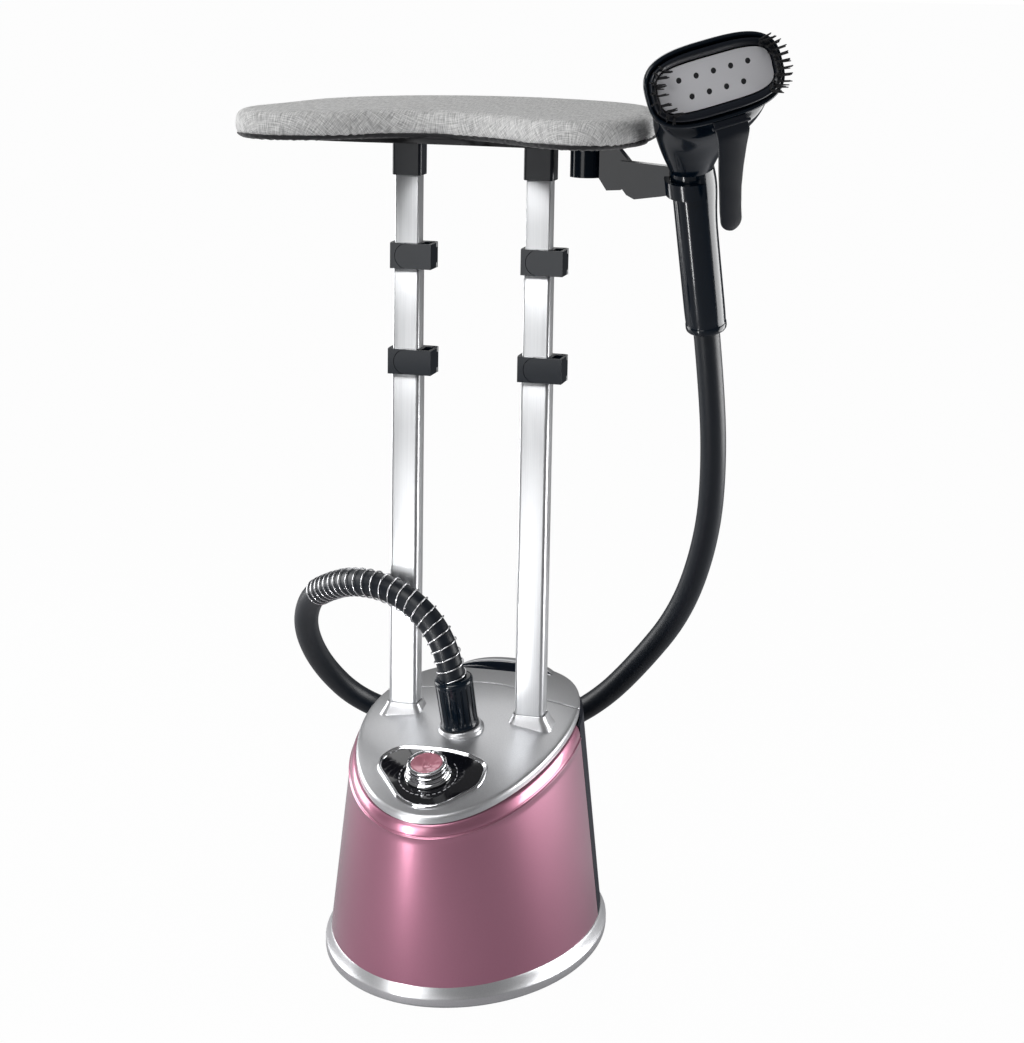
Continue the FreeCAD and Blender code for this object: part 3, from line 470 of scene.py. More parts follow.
def tube(name, points, radius, around=32, caps=(True, True)):
    """A round tube: P(s, t) = C(s) + r(s) (cos t U(s) + sin t V(s))."""
    _, u, v = carried_frames(points)
    t = full_turn(around)
    r = np.broadcast_to(np.asarray(radius, float), (len(points),))[:, None, None]
    wheel = np.cos(t)[None, :, None] * u[:, None] + np.sin(t)[None, :, None] * v[:, None]
    return skin(name, points[:, None] + r * wheel, caps=caps, smooth=60)


hose_line = even(spline_points("hose_line", HOSE_ROUTE), 0.004)
hose = tube("steam_hose_skin", hose_line, HOSE_R, around=40)
hose.data.materials.append(HOSE_RUBBER)


# %% The spring guard
def helix(line, radius, pitch, per_turn=40):
    """A coil round a line: C(s) + r (cos a U + sin a V), where a grows by a full turn for each pitch."""
    s = along(line)
    count = int(s[-1] / pitch * per_turn)
    at = np.linspace(0, s[-1], count)
    _, u, v = carried_frames(line)
    centre, uu, vv = (read_at(at, s, a) for a in (line, u, v))
    angle = at / pitch * TAU
    wobble = radius * (1 + 0.006 * np.sin(angle * 0.37))
    return centre + wobble[:, None] * (np.cos(angle)[:, None] * uu + np.sin(angle)[:, None] * vv)


WIRE_R = 0.75 * MM
GUARD_START, GUARD_LENGTH, GUARD_PITCH = 0.018, 0.268, 0.0112
hose_s = along(hose_line)
guarded = hose_line[(hose_s > GUARD_START) & (hose_s < GUARD_START + GUARD_LENGTH)]
coil = tube("spring_coil", helix(guarded, HOSE_R + WIRE_R + 0.5 * MM, GUARD_PITCH), WIRE_R, around=8)
show(coil, STEEL, "spring_steel", "base", "spring_guard")
print(f"spring guard: {GUARD_LENGTH / GUARD_PITCH:.0f} turns")


# %% The hose nut
NUT_RIBS = 20


def nut_flutes(t, r, h):
    """Broad flat ribs with narrow round grooves between them, fading out at both ends of the nut."""
    groove = np.clip((np.cos(NUT_RIBS * t) - 0.55) / 0.45, 0, None)**0.7
    fade = np.clip((h - 0.0085) / 0.003, 0, 1) * np.clip((0.051 - h) / 0.003, 0, 1)
    return r - 1.1 * MM * groove * fade * (r > 0.015)


NUT_PROFILE = [(14.5, 3.2), (18.9, 3.2), (19.8, 4.2), (19.9, 5.6), (19.6, 7.0), (19.2, 7.8), (19.1, 9),
               (19.1, 12)]
NUT_PROFILE += [(19.1 + 0.03 * k, 12 + 1.9 * k) for k in range(1, 20)]
NUT_PROFILE += [(19.6, 50.0), (19.6, 52), (19.8, 53.0), (19.7, 55.0), (19.2, 56.4), (18.0, 57.4),
                (16.0, 58.0), (13.9, 58.2), (13.7, 56), (13.7, 50), (13.0, 49)]
nut = turned("hose_nut_skin", NUT_PROFILE, NUT_BASE, NUT_AXIS, around=480, smooth=45, flutes=nut_flutes)
show(nut, BLACK_GLOSS, "black_plastic", "base", "hose_nut")
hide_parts("steam_hose")
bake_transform(hose)

# %% [markdown]
# ## The base's shapes
#
# Seen from above the body is an oval, x = a cos t and y = b sin t. Its half width a shrinks in a straight
# line from the floor to the deck. The deck and the tank's lid share one dome, which falls towards the front
# and to both sides. `dome` gives its height, and every piece on top of the base is laid on it.

# %% Ovals and the dome
BODY_A0, BODY_A1, BODY_B = 0.1390, 0.1125, 0.1895
BODY_Z0, BODY_Z1 = 0.022, 0.240
DECK_A, DECK_B = 0.1095, 0.1870
SEAM_Y, LID_Y = 0.022, 0.045


def dome(x, y):
    """Height of the deck: 250.9 + 0.105 y - 0.00092 y^2 - 0.00095 x^2 in millimetres."""
    return 0.2509 + 0.105 * y - 0.92 * y * y - 0.95 * x * x


def dome_normal(x, y):
    n = np.array([1.90 * x, -0.105 + 1.84 * y, 1.0])
    return n / np.linalg.norm(n)


def body_oval(t, z, inset=0.0):
    """A point of the body's wall at angle t and height z."""
    a = BODY_A0 + (BODY_A1 - BODY_A0) * (z - BODY_Z0) / (BODY_Z1 - BODY_Z0)
    return xyz((a - inset) * np.cos(t), (BODY_B - inset) * np.sin(t), z)


def rounded_rectangle(w, d, r, z, cx=0.0, cy=0.0, corner=7):
    """A closed loop of points: a w x d rectangle with corners of radius r."""
    a = np.radians(np.concatenate([np.linspace(s, s + 90, corner) for s in (0, 90, 180, 270)]))
    sx = np.repeat([1, -1, -1, 1], corner) * (w / 2 - r)
    sy = np.repeat([1, 1, -1, -1], corner) * (d / 2 - r)
    return xyz(cx + sx + r * np.cos(a), cy + sy + r * np.sin(a), z)


def at_height(plan, z):
    """Points seen from above, put at a height."""
    return xyz(plan[..., 0], plan[..., 1], z)


def on_dome(plan, lift):
    return at_height(plan, dome(plan[..., 0], plan[..., 1]) + lift)


print("deck height at the middle:", dome(0, 0))


# %% [markdown]
# ### The painted shell
#
# The shell is a wall that runs round the front of the body. Near the top it has a fine raised bead, and
# above the bead a shoulder leans inwards to a narrow shelf under the deck. Its height there follows the
# dome, so each column of points ends at its own height. A Solidify modifier gives the wall its thickness.

# %% Shell, tank wall and the strip between them
SHOULDER, LEAN, WALL_TOP = 0.0135, 0.0046, 0.0080
BEAD = ((0.0002, 0.0012), (0.0008, 0.0008), (0.0010, 0.0003), (0.0007, -0.0002), (0.0, -0.0006),
        (-0.0005, -0.0010), (-0.0006, -0.0015), (-0.0002, -0.0020))


def wall(name, t0, t1, bottom, columns, beaded=True):
    """A wall over the angles t0..t1. It climbs from bottom to SHOULDER below the deck, where a fine bead runs
    round it. Above that its shoulder leans in by LEAN (1 - sqrt(1 - s^2)) to the shelf."""
    t = np.linspace(t0, t1, columns)
    top = dome(DECK_A * np.cos(t), DECK_B * np.sin(t)) - WALL_TOP
    climb = top - SHOULDER - 0.0016 - bottom
    rows = [body_oval(t, bottom + climb * share) for share in np.linspace(0, 1, 26)]
    if beaded:
        rows += [body_oval(t, top - SHOULDER - below, -out) for out, below in BEAD]
    for share in np.linspace(0.2, 1, 12):
        lean = LEAN * (1 - math.sqrt(1 - (0.98 * share)**2))
        rows.append(body_oval(t, top - SHOULDER * (1 - share), lean))
    start = rows[-1]
    shelf = xyz((DECK_A - 0.006) * np.cos(t), (DECK_B - 0.006) * np.sin(t), top)
    rows += [start + (shelf - start) * share for share in (0.4, 1.0)]
    return flat_sheet(name, rows, 0.0024, offset=-1)


seam_t = math.asin(SEAM_Y / BODY_B)
lid_t = math.asin(LID_Y / BODY_B)
gap_t = 0.0012 / BODY_B
shell = wall("shell_skin", -math.pi - seam_t + gap_t, seam_t - gap_t, BODY_Z0 + 0.0005, 260)
show(shell, PINK, "pink_paint", "base", "body_shell")
tank = wall("tank_skin", lid_t + gap_t, math.pi - lid_t - gap_t, 0.0275, 200, beaded=False)
print("shell and tank walls:", len(shell.data.polygons), len(tank.data.polygons))


# %% [markdown]
# ### Softened copies
#
# A moulded part has no knife edges. Where the working model's shape is already right, its mesh is copied,
# its loose triangles are merged and joined into flat faces, and a small bevel rounds each sharp edge, so
# that the edges catch the light. The original stays hidden under the copy.

# %% Bevelled copies of working parts
def softened(name, material, slot, body, width=0.5, segments=2, angle=38.0):
    """A merged copy of a working part with its sharp edges rounded by width millimetres."""
    mesh = NODES[name].data.copy()
    mesh.materials.clear()
    copy = new_object(name + "_skin", mesh)
    with mesh_work(mesh) as work:
        bmesh.ops.remove_doubles(work, verts=work.verts, dist=2e-6)
        bmesh.ops.dissolve_limit(work, angle_limit=math.radians(1.0), verts=work.verts, edges=work.edges)
    shade(copy, angle)
    if width:
        bevel = copy.modifiers.new("edges", "BEVEL")
        bevel.width = width * MM
        bevel.segments = segments
        bevel.limit_method = "ANGLE"
        bevel.angle_limit = math.radians(angle)
        bevel.harden_normals = True
    return show(copy, material, slot, body, name)


def finish_node(name, material):
    """Give a working part that already looks right its finish."""
    for place in NODES[name].material_slots:
        place.material = material


softened("tank_bay", SMOKE, "tank_plastic", "base", 0)
show(tank, SMOKE, "tank_plastic", "tank")
softened("tank_body", SMOKE, "tank_plastic", "tank", 0)
for name in ("base_tray", "rubber_feet", "rotary_switch", "thermostat"):
    finish_node(name, BLACK_MATT)
for name in ("boiler", "steam_pipe", "case_screws"):
    finish_node(name, PLATE)
for name in ("valve_seat", "feed_tube", "tank_valve", "steam_tube"):
    finish_node(name, CLEAR_RUBBER)
softened("mains_inlet", BLACK_SATIN, "black_plastic", "base", 0.4)
print("base parts finished")

# %% [markdown]
# ### The ring under the body
#
# A silver ring carries the body. It stands upright at the floor. Above a soft crease it leans inwards in a
# hollow curve to a fine dark gap under the shell.

# %% The base ring
RING_PROFILE = [(11.5, 3.2), (2.2, 3.0), (0.9, 3.3), (0.2, 4.2), (0.0, 5.5), (0.0, 11.3), (0.1, 12.2),
                (0.5, 12.9), (1.2, 13.9), (2.1, 15.7), (3.0, 17.9), (3.9, 20.4), (4.7, 22.8), (5.3, 24.3),
                (5.9, 25.2), (6.7, 25.3), (7.2, 24.6), (7.2, 22.0), (11.5, 21.8)]
ring_t = full_turn(320)
RING_A, RING_B = 0.145, 0.194
ring = band("base_ring_skin", [xyz((RING_A - i * MM) * np.cos(ring_t),
                                   (RING_B - i * MM) * np.sin(ring_t), z * MM) for i, z in RING_PROFILE])
show(ring, SILVER, "silver_plastic", "base", "base_ring")
print("ring:", len(ring.data.polygons), "faces")

# %% [markdown]
# ### Deck, lid and finger well
#
# The deck and the lid are plates on the dome. A plate is drawn from a middle point outwards to its edge, and
# the edge rolls over a small radius to a lip. The seam between them is straight at the sides and bulges back
# round the hose's socket. The lid has a hole for the finger well, so its plate starts at that hole's edge.

# %% Plates on the dome
def reach_oval(c, a):
    """Distance from c to the deck's oval in the direction of angle a: the positive root of a quadratic."""
    dx, dy = np.cos(a) / DECK_A, np.sin(a) / DECK_B
    px, py = c[0] / DECK_A, c[1] / DECK_B
    qa, qb, qc = dx * dx + dy * dy, dx * px + dy * py, px * px + py * py - 1
    return (-qb + np.sqrt(qb * qb - qa * qc)) / qa


def reach_circle(c, a, centre, radius, near):
    """Distance from c to a circle, its far side, or its near side where it is hit at all."""
    ox, oy = c[0] - centre[0], c[1] - centre[1]
    b = ox * np.cos(a) + oy * np.sin(a)
    under = b * b - (ox * ox + oy * oy - radius * radius)
    root = np.sqrt(np.clip(under, 0, None))
    hit = -b - root if near else -b + root
    return np.where((under > 0) & (hit > 0), hit, np.inf)


PLATE_T = 0.0026


def plate(name, c, angles, reach, roll, depth, hole=None):
    """A closed plate on the dome. reach is the distance from c to the edge at each angle. The edge is a
    quarter circle of radius roll, then it drops to depth. The underside is PLATE_T below the top. hole gives
    the distance from c to an inner edge."""
    direction = np.stack([np.cos(angles), np.sin(angles)], axis=-1)

    def row(distance, drop):
        return on_dome(np.asarray(c) + direction * distance[:, None], -drop)

    inner = 0 * reach
    rows = []
    if hole is not None:
        inner = hole + roll
        rows.append(row(hole, PLATE_T))
        for a in np.radians(np.linspace(0, 75, 5)):
            rows.append(row(hole + roll * (1 - np.cos(a)), roll * (1 - np.sin(a))))
    for share in np.linspace(0.02 if hole is None else 0.0, 1, 34):
        rows.append(row(inner + (reach - roll - inner) * share, 0))
    for a in np.radians(np.linspace(15, 90, 6)):
        rows.append(row(reach - roll + roll * np.sin(a), roll * (1 - np.cos(a))))
    rows += [row(reach, depth), row(reach - PLATE_T, depth), row(reach - 0.0030, PLATE_T)]
    if hole is not None:
        return band(name, rows, smooth=50)
    return skin(name, rows + [row(reach * 0.02, PLATE_T)], smooth=50)


phi = full_turn(420)
DECK_C, WELL_C = (0.003, -0.030), (0.0, 0.137)
BULGE, BULGE_R = (0.003, -0.010), 0.078
line_reach = np.where(np.sin(phi) > 0.02, (LID_Y - DECK_C[1]) / np.clip(np.sin(phi), 0.02, None), np.inf)
bulge_reach = reach_circle(DECK_C, phi, BULGE, BULGE_R, near=False)
FAR, BLEND = 9.0, 24
blended = (np.minimum(line_reach, FAR)**BLEND + bulge_reach**BLEND)**(1 / BLEND)
seam_reach = np.where(np.isfinite(line_reach), blended, np.inf)
deck_reach = np.minimum(reach_oval(DECK_C, phi), seam_reach - 0.0004)
deck = plate("front_deck_skin", DECK_C, phi, deck_reach, 0.0030, 0.0075)
show(deck, SILVER, "silver_plastic", "base", "front_deck")

WELL_A, WELL_B = 0.052, 0.013
well_edge = 1 / np.sqrt((np.cos(phi) / WELL_A)**2 + (np.sin(phi) / WELL_B)**2)
down = np.sin(phi) < -0.02
lid_line = np.where(down, (LID_Y + 0.0008 - WELL_C[1]) / np.where(down, np.sin(phi), -1.0), np.inf)
lid_bulge = reach_circle(WELL_C, phi, BULGE, BULGE_R + 0.0008, near=True)
lid_reach = np.minimum(reach_oval(WELL_C, phi), np.minimum(lid_line, lid_bulge))
lid = plate("tank_lid_skin", WELL_C, phi, lid_reach, 0.0012, 0.0075, hole=well_edge)
show(lid, SILVER, "silver_plastic", "tank", "tank_lid")

# %% The finger well and the grip
well_t = full_turn(120)
well_rows = []
for inset, drop in ((-0.0004, 0.0006), (0.0, 0.0012), (0.0002, 0.006), (0.0010, 0.011), (0.0030, 0.0138),
                    (0.0070, 0.0145)):
    x, y = (WELL_A - inset) * np.cos(well_t), WELL_C[1] + (WELL_B - inset) * np.sin(well_t)
    well_rows.append(xyz(x, y, dome(x, y) - drop))
well = skin("well_skin", well_rows, caps=(False, True), smooth=60)
show(well, NAVY, "black_plastic", "tank", "handle_well")


GRIP_HALF, GRIP_RISE = 0.054, 0.0078


def grip_height(u, v):
    """A low arch that falls to both ends as 1 - |u|^3. Its front lip stays up and its back rolls down."""
    across = np.clip(1 - np.clip(v, 0, 1)**3, 0, None)**0.6 * (1 - 0.35 * np.clip(-v, 0, 1)**6)
    return GRIP_RISE * np.clip(1 - np.abs(u)**3, 0, None)**0.8 * across


def grip_surface():
    """The grip fills the band between the finger well and the lid's back edge."""
    u = np.sin(np.linspace(-1, 1, 61) * math.pi / 2)
    v = np.sin(np.linspace(-1, 1, 25) * math.pi / 2)
    uu, vv = np.meshgrid(u, v, indexing="ij")
    x = GRIP_HALF * uu
    near = WELL_C[1] + WELL_B * np.sqrt(np.clip(1 - (x / (GRIP_HALF + 0.0005))**2, 0, None)) + 0.0006
    far = DECK_B * np.sqrt(1 - (x / DECK_A)**2) - 0.0050
    y = near + (far - near) * (vv + 1) / 2
    return xyz(x, y, dome(x, y) + 0.0001 + grip_height(uu, vv))


surface = grip_surface()
under = on_dome(surface, -0.0004)
points = np.vstack([surface.reshape(-1, 3), under.reshape(-1, 3)])
count_u, count_v = surface.shape[:2]
top_faces = grid_faces(count_u, count_v, close_cols=False)
low_faces = top_faces[:, ::-1] + count_u * count_v
last_row = (count_u - 1) * count_v
edge = np.concatenate([np.arange(count_v), np.arange(1, count_u) * count_v + count_v - 1,
                       last_row + np.arange(count_v - 2, -1, -1), np.arange(count_u - 2, 0, -1) * count_v])
after = np.roll(edge, -1)
side_faces = np.stack([edge, after, after + count_u * count_v, edge + count_u * count_v], axis=1)
grip = mesh_object("grip_skin", points, np.vstack([top_faces, low_faces, side_faces]), 40)
shade(outward(grip), 55)
show(grip, SILVER, "silver_plastic", "tank", "tank_handle")
# A thin navy sheet hangs down the front of the grip's lip. It is painted shade: the shadow under the raised
# arch.
lip = surface[:, 0]
shade_sheet_rows = [lip + np.array((0.0, -0.00025, 0.0)), lip + np.array((0.0, -0.00045, -0.0014)),
               on_dome(lip, -0.0030) - np.array((0.0, 0.0004, 0.0))]
grip_shade_sheet = flat_sheet("grip_painted_shade", shade_sheet_rows, 0.0003, smooth=40)
show(grip_shade_sheet, NAVY, "black_plastic", "tank")
print("deck, lid, well and grip made")

# %% [markdown]
# ### Control panel, bezel and knob
#
# The panel is a glossy black triangle with bulging sides. Its outline is the edge of five discs with a belt
# round them, which the support function gives: in each direction the furthest disc wins. The chrome bezel
# follows the same outline. The knob has stepped chrome rings and a dished rose insert.

# %% The panel's outline
PANEL_DISCS = [((-0.038, -0.116), 0.0255), ((0.034, -0.115), 0.0165), ((-0.001, -0.1365), 0.041),
               ((0.0, -0.1185), 0.0275), ((0.0185, -0.126), 0.0325)]


def panel_outline(inset, count=300):
    """Evenly spaced points of the belt round the discs, moved in by inset."""
    a = np.linspace(0, TAU, 1440, endpoint=False)
    n = np.stack([np.cos(a), np.sin(a)], axis=-1)
    support = np.stack([n @ np.array(c) + r for c, r in PANEL_DISCS])
    best = support.argmax(axis=0)
    centres = np.array([c for c, _ in PANEL_DISCS])[best]
    radii = np.array([r for _, r in PANEL_DISCS])[best] - inset
    loop = centres + n * radii[:, None]
    loop = np.vstack([loop, loop[:1]])
    s = along(loop)
    return read_at(np.linspace(0, s[-1], count, endpoint=False), s, loop)


BEZEL_PROFILE = [(0.2, -1.0), (0.0, 0.2), (0.0, 1.3), (0.4, 2.2), (1.1, 2.8), (1.9, 2.95), (2.5, 2.5),
                 (2.8, 1.8), (3.1, 1.5), (3.5, 1.7), (3.9, 1.6), (4.3, 1.0), (4.5, 0.4), (4.5, -1.0)]
bezel_rows = [on_dome(panel_outline(i * MM), h * MM) for i, h in BEZEL_PROFILE]
bezel = band("bezel_skin", bezel_rows)
show(bezel, CHROME, "chrome", "base", "panel_bezel")
inner = panel_outline(0.0040)
middle = inner.mean(axis=0)
panel_rows = [on_dome(middle + (inner - middle) * s, 0.0006) for s in (0.03, 0.2, 0.4, 0.6, 0.8, 0.97, 1.0)]
panel_rows += [on_dome(inner, -0.0018), on_dome(middle + (inner - middle) * 0.03, -0.0018)]
panel = skin("panel_skin", panel_rows, smooth=40)
show(panel, PANEL_BLACK, "black_plastic", "base", "control_panel")
print("panel", np.round(inner.min(axis=0), 4), np.round(inner.max(axis=0), 4))

# %% The knob and its scale
KNOB_X, KNOB_Y = -0.006, -0.132
KNOB_AXIS = dome_normal(KNOB_X, KNOB_Y)
KNOB_SEAT = np.array((KNOB_X, KNOB_Y, dome(KNOB_X, KNOB_Y))) + KNOB_AXIS * 0.001
SKIRT = [(3, 0.0), (23.2, 0.0), (23.5, 0.5), (23.5, 1.7), (23.1, 2.3), (22.0, 2.5), (21.4, 2.9), (21.4, 4.6),
         (21.0, 5.1), (20.0, 5.3), (19.6, 5.7), (19.6, 7.4), (19.9, 7.8), (20.6, 8.0), (20.6, 9.2),
         (19.6, 9.8), (3, 9.9)]
knob_skirt = turned("knob_skirt_skin", SKIRT, KNOB_SEAT, KNOB_AXIS, smooth=32)
show(knob_skirt, CHROME, "chrome", "knob", "knob_skirt")
RING = [(15.8, 10.0), (19.4, 10.0), (20.0, 10.6), (20.0, 13.2)] + arc((18.6, 13.9), 1.4, 0, 90, 5)
RING += [(17.2, 15.4), (16.6, 15.2), (16.1, 14.6), (15.8, 13.8)]
knob_ring = turned("knob_ring_skin", RING + RING[:1], KNOB_SEAT, KNOB_AXIS, smooth=50)
show(knob_ring, CHROME, "chrome", "knob", "knob_ring")
INSERT = [(15.7, 10.2), (15.7, 14.3), (15.2, 14.7), (14.0, 14.4), (10.5, 13.7), (8.0, 13.1), (5.0, 12.7),
          (2.0, 12.5), (0.3, 12.5)]
insert = turned("knob_insert_skin", INSERT, KNOB_SEAT, KNOB_AXIS, smooth=60)
show(insert, ROSE, "pink_insert", "knob", "knob_insert")


def blocks(name, centres, along_axes, across_axes, normals, size):
    """Small flat blocks: each has a middle, three directions and the same length, width and height."""
    square = ((-.5, -.5), (.5, -.5), (.5, .5), (-.5, .5))
    corner = np.array([(x, y, z) for z in (0, 1) for x, y in square]) * size
    axes = np.stack([along_axes, across_axes, normals], axis=1)
    points = centres[:, None] + corner @ axes
    one = np.array([(3, 2, 1, 0), (4, 5, 6, 7), (0, 1, 5, 4), (1, 2, 6, 5), (2, 3, 7, 6), (3, 0, 4, 7)])
    faces = (one[None] + 8 * np.arange(len(centres))[:, None, None]).reshape(-1, 4)
    return mesh_object(name, points.reshape(-1, 3), faces, 30)


# Length, width and height of a dash and of the pointer.
DASH, POINTER = np.array((0.0034, 0.0008, 0.00012)), np.array((0.0012, 0.0042, 0.0004))


def scale_marks(count=24, radius=0.0290, first=-220.0, last=40.0):
    """Dashes in an arc round the knob, each laid flat on the panel."""
    a = np.radians(np.linspace(first, last, count))
    x, y = KNOB_X + radius * np.cos(a), KNOB_Y + radius * np.sin(a)
    border = panel_outline(0.006)
    inside = np.array([np.all(np.linalg.norm(border - (px, py), axis=1) > 0.0015) for px, py in zip(x, y)])
    a, x, y = a[inside], x[inside], y[inside]
    centres = xyz(x, y, dome(x, y) + 0.0006)
    normals = np.stack([dome_normal(px, py) for px, py in zip(x, y)])
    run = xyz(-np.sin(a), np.cos(a), 0.0)
    run -= normals * np.sum(run * normals, axis=1)[:, None]
    run /= np.linalg.norm(run, axis=1)[:, None]
    return blocks("scale_marks", centres, run, np.cross(normals, run), normals, DASH)


show(scale_marks(), MARK, "black_plastic", "base")
_, px, py, _ = frame_at(KNOB_SEAT, KNOB_AXIS)
pointer_at = KNOB_SEAT + py * 0.0171 + KNOB_AXIS * 0.01525
pointer = blocks("knob_pointer", pointer_at[None], px[None], py[None], KNOB_AXIS[None], POINTER)
show(pointer, BLACK_GLOSS, "black_plastic", "knob")

# %% The hose's socket
SOCKET = [(16.4, 1.0), (16.4, 3.2), (20.0, 3.2), (20.4, 3.4), (21.0, 3.5), (21.7, 3.3), (22.3, 2.6),
          (22.7, 1.6), (23.1, 0.7), (23.6, 0.1), (24.4, -0.8), (24.4, -4.0), (16.4, -4.0)]
socket = turned("socket_skin", SOCKET + SOCKET[:1], NUT_BASE, NUT_AXIS, smooth=55)
show(socket, SILVER, "silver_plastic", "base", "hose_socket")
print("panel, knob and socket made")

# %% [markdown]
# ## The stand
#
# Each pole is three aluminium tubes of rounded rectangular section, one inside the next. At every joint a
# black clamp with a hinged lever holds the inner tube. A silver collar covers the hole in the deck.

# %% Tubes, collars and caps
POLE_X, POLE_Y = 68.0, -12.0
STAGES = {"lower": ((30.0, 23.0, 4.0), 11.05, 624.9, "base"),
          "middle": ((27.44, 20.44, 2.72), 235.0, 732.9, "middle_stage"),
          "upper": ((24.88, 17.88, 1.5), 450.0, 838.0, "upper_stage")}
SIDES = (("left", -POLE_X), ("right", POLE_X))


def square_tube(name, size, z0, z1, x):
    """Outside from bottom to top, over a 0.3 mm rounded rim, and down the inside 1.2 mm further in."""
    w, d, r = size
    plan = [(0.3, z0), (0.0, z0 + 0.3), (0.0, z1 - 0.3), (0.3, z1), (0.9, z1), (1.2, z1 - 0.3),
            (1.2, z0 + 0.3), (0.9, z0)]
    rows = [rounded_rectangle(w - 2 * i, d - 2 * i, max(r - i, 0.3), z, x, POLE_Y) * MM for i, z in plan]
    return band(name, rows)


for side, x in SIDES:
    for stage, (size, z0, z1, body) in STAGES.items():
        pole = square_tube(f"{stage}_tube_{side}_skin", size, z0, z1, x)
        show(pole, ALUMINIUM, "aluminium", body, f"{stage}_tube_{side}")
    plan = [(54, 38, 9, 229), (50, 36, 9, 240), (46.5, 33.6, 8.6, 243.6), (42.5, 31.4, 7.8, 246.6),
            (38.6, 29.4, 7.0, 249.6), (36.2, 28.0, 6.4, 252), (35.2, 27.4, 6.2, 253.4),
            (34.4, 26.8, 6.0, 254.2), (33.4, 26.0, 5.6, 254.5), (32.2, 25.0, 5.0, 254.2),
            (31.2, 24.2, 4.4, 253.2), (30.7, 23.7, 4.0, 240), (30.7, 23.7, 4.0, 229)]
    rows = [rounded_rectangle(*size, x, POLE_Y) * MM for size in plan]
    collar = band(f"collar_{side}_skin", rows, smooth=40)
    show(collar, SILVER, "silver_plastic", "base", f"collar_{side}")
    softened(f"cap_{side}", BLACK_SATIN, "black_plastic", "upper_stage", 0.8, 3)
    for stage, body in (("lower", "base"), ("upper", "middle_stage")):
        softened(f"{stage}_clamp_{side}", BLACK_GLOSS, "black_plastic", body, 0.6, 2)
        softened(f"{stage}_lever_{side}", BLACK_GLOSS, "black_plastic", f"{stage}_lever_{side}", 0.7, 3)
for name in ("lower_clamp_pins", "upper_clamp_pins", "lever_pin"):
    finish_node(name, BLACK_SATIN)
softened("handset_holder", BLACK_GLOSS, "black_plastic", "upper_stage", 1.0, 3)
print("stand made")

# %% [markdown]
# ## The pressing board
#
# The board is a foam pad in a grey linen cover, on a black tray. Its edge is a closed smooth curve, a
# periodic cubic spline. The cover is crowned, rolls over the edge, and is pulled in underneath by a black
# gathered hem.

# %% The board's edge
BOARD_EDGE = np.array([
    (-211, -120), (-190, -151), (-146, -156), (-104, -130), (-66, -90), (-20, -73), (32, -90), (86, -130),
    (128, -146), (160, -130), (178, -84), (180, 0), (168, 80), (135, 132), (78, 166), (5, 182), (-76, 167),
    (-146, 117), (-186, 50), (-204, -40)], float) * MM
TRAY_EDGE = np.array([
    (-186, -66), (-150, -77), (-60, -74), (40, -70), (108, -66), (150, -40), (165, 5), (156, 72), (126, 120),
    (72, 153), (4, 169), (-72, 154), (-135, 106), (-170, 44), (-189, -30)], float) * MM


def closed_spline(points, count):
    """Periodic cubic spline through the points: the second derivatives solve a cyclic linear system."""
    n = len(points)
    h = np.linalg.norm(np.roll(points, -1, axis=0) - points, axis=1)
    before = np.roll(h, 1)
    matrix = np.zeros((n, n))
    i = np.arange(n)
    matrix[i, (i - 1) % n] += before
    matrix[i, i] += 2 * (before + h)
    matrix[i, (i + 1) % n] += h
    slope = (np.roll(points, -1, axis=0) - points) / h[:, None]
    second = np.linalg.solve(matrix, 6 * (slope - np.roll(slope, 1, axis=0)))
    s = np.concatenate([[0], np.cumsum(h)])
    at = np.linspace(0, s[-1], count, endpoint=False)
    k = np.clip(np.searchsorted(s, at, side="right") - 1, 0, n - 1)
    k1, d = (k + 1) % n, (at - s[k])[:, None]
    hk = h[k][:, None]
    slope_k = slope[k] - hk * (2 * second[k] + second[k1]) / 6
    return points[k] + d * slope_k + d * d * second[k] / 2 + d**3 * (second[k1] - second[k]) / (6 * hk)


def edge_normals(loop):
    """Unit normals of a closed loop, pointing out of it."""
    run = np.roll(loop, -1, axis=0) - np.roll(loop, 1, axis=0)
    normal = np.stack([run[:, 1], -run[:, 0]], axis=-1)
    return normal / np.linalg.norm(normal, axis=1)[:, None]


edge_loop = closed_spline(BOARD_EDGE, 1080)
edge_next = np.roll(edge_loop, -1, axis=0)
if np.sum(edge_loop[:, 0] * edge_next[:, 1] - edge_next[:, 0] * edge_loop[:, 1]) < 0:
    edge_loop = edge_loop[::-1]
edge_out = edge_normals(edge_loop)
edge_s = along(edge_loop)
EDGE_LENGTH = float(edge_s[-1])
edge_box = [np.round(edge, 3) for edge in (edge_loop.min(axis=0), edge_loop.max(axis=0))]
print(f"board edge: {EDGE_LENGTH:.3f} m, box", *edge_box)


# %% The padded cover
def wave(s, lengths, seed):
    """A smooth uneven wave round the edge: a sum of sines with whole numbers of periods."""
    r = np.random.default_rng(seed)
    total = 0 * s
    for length in lengths:
        periods = round(EDGE_LENGTH / length)
        total = total + np.sin(TAU * periods * s / EDGE_LENGTH + r.uniform(0, TAU)) / len(lengths)
    return total


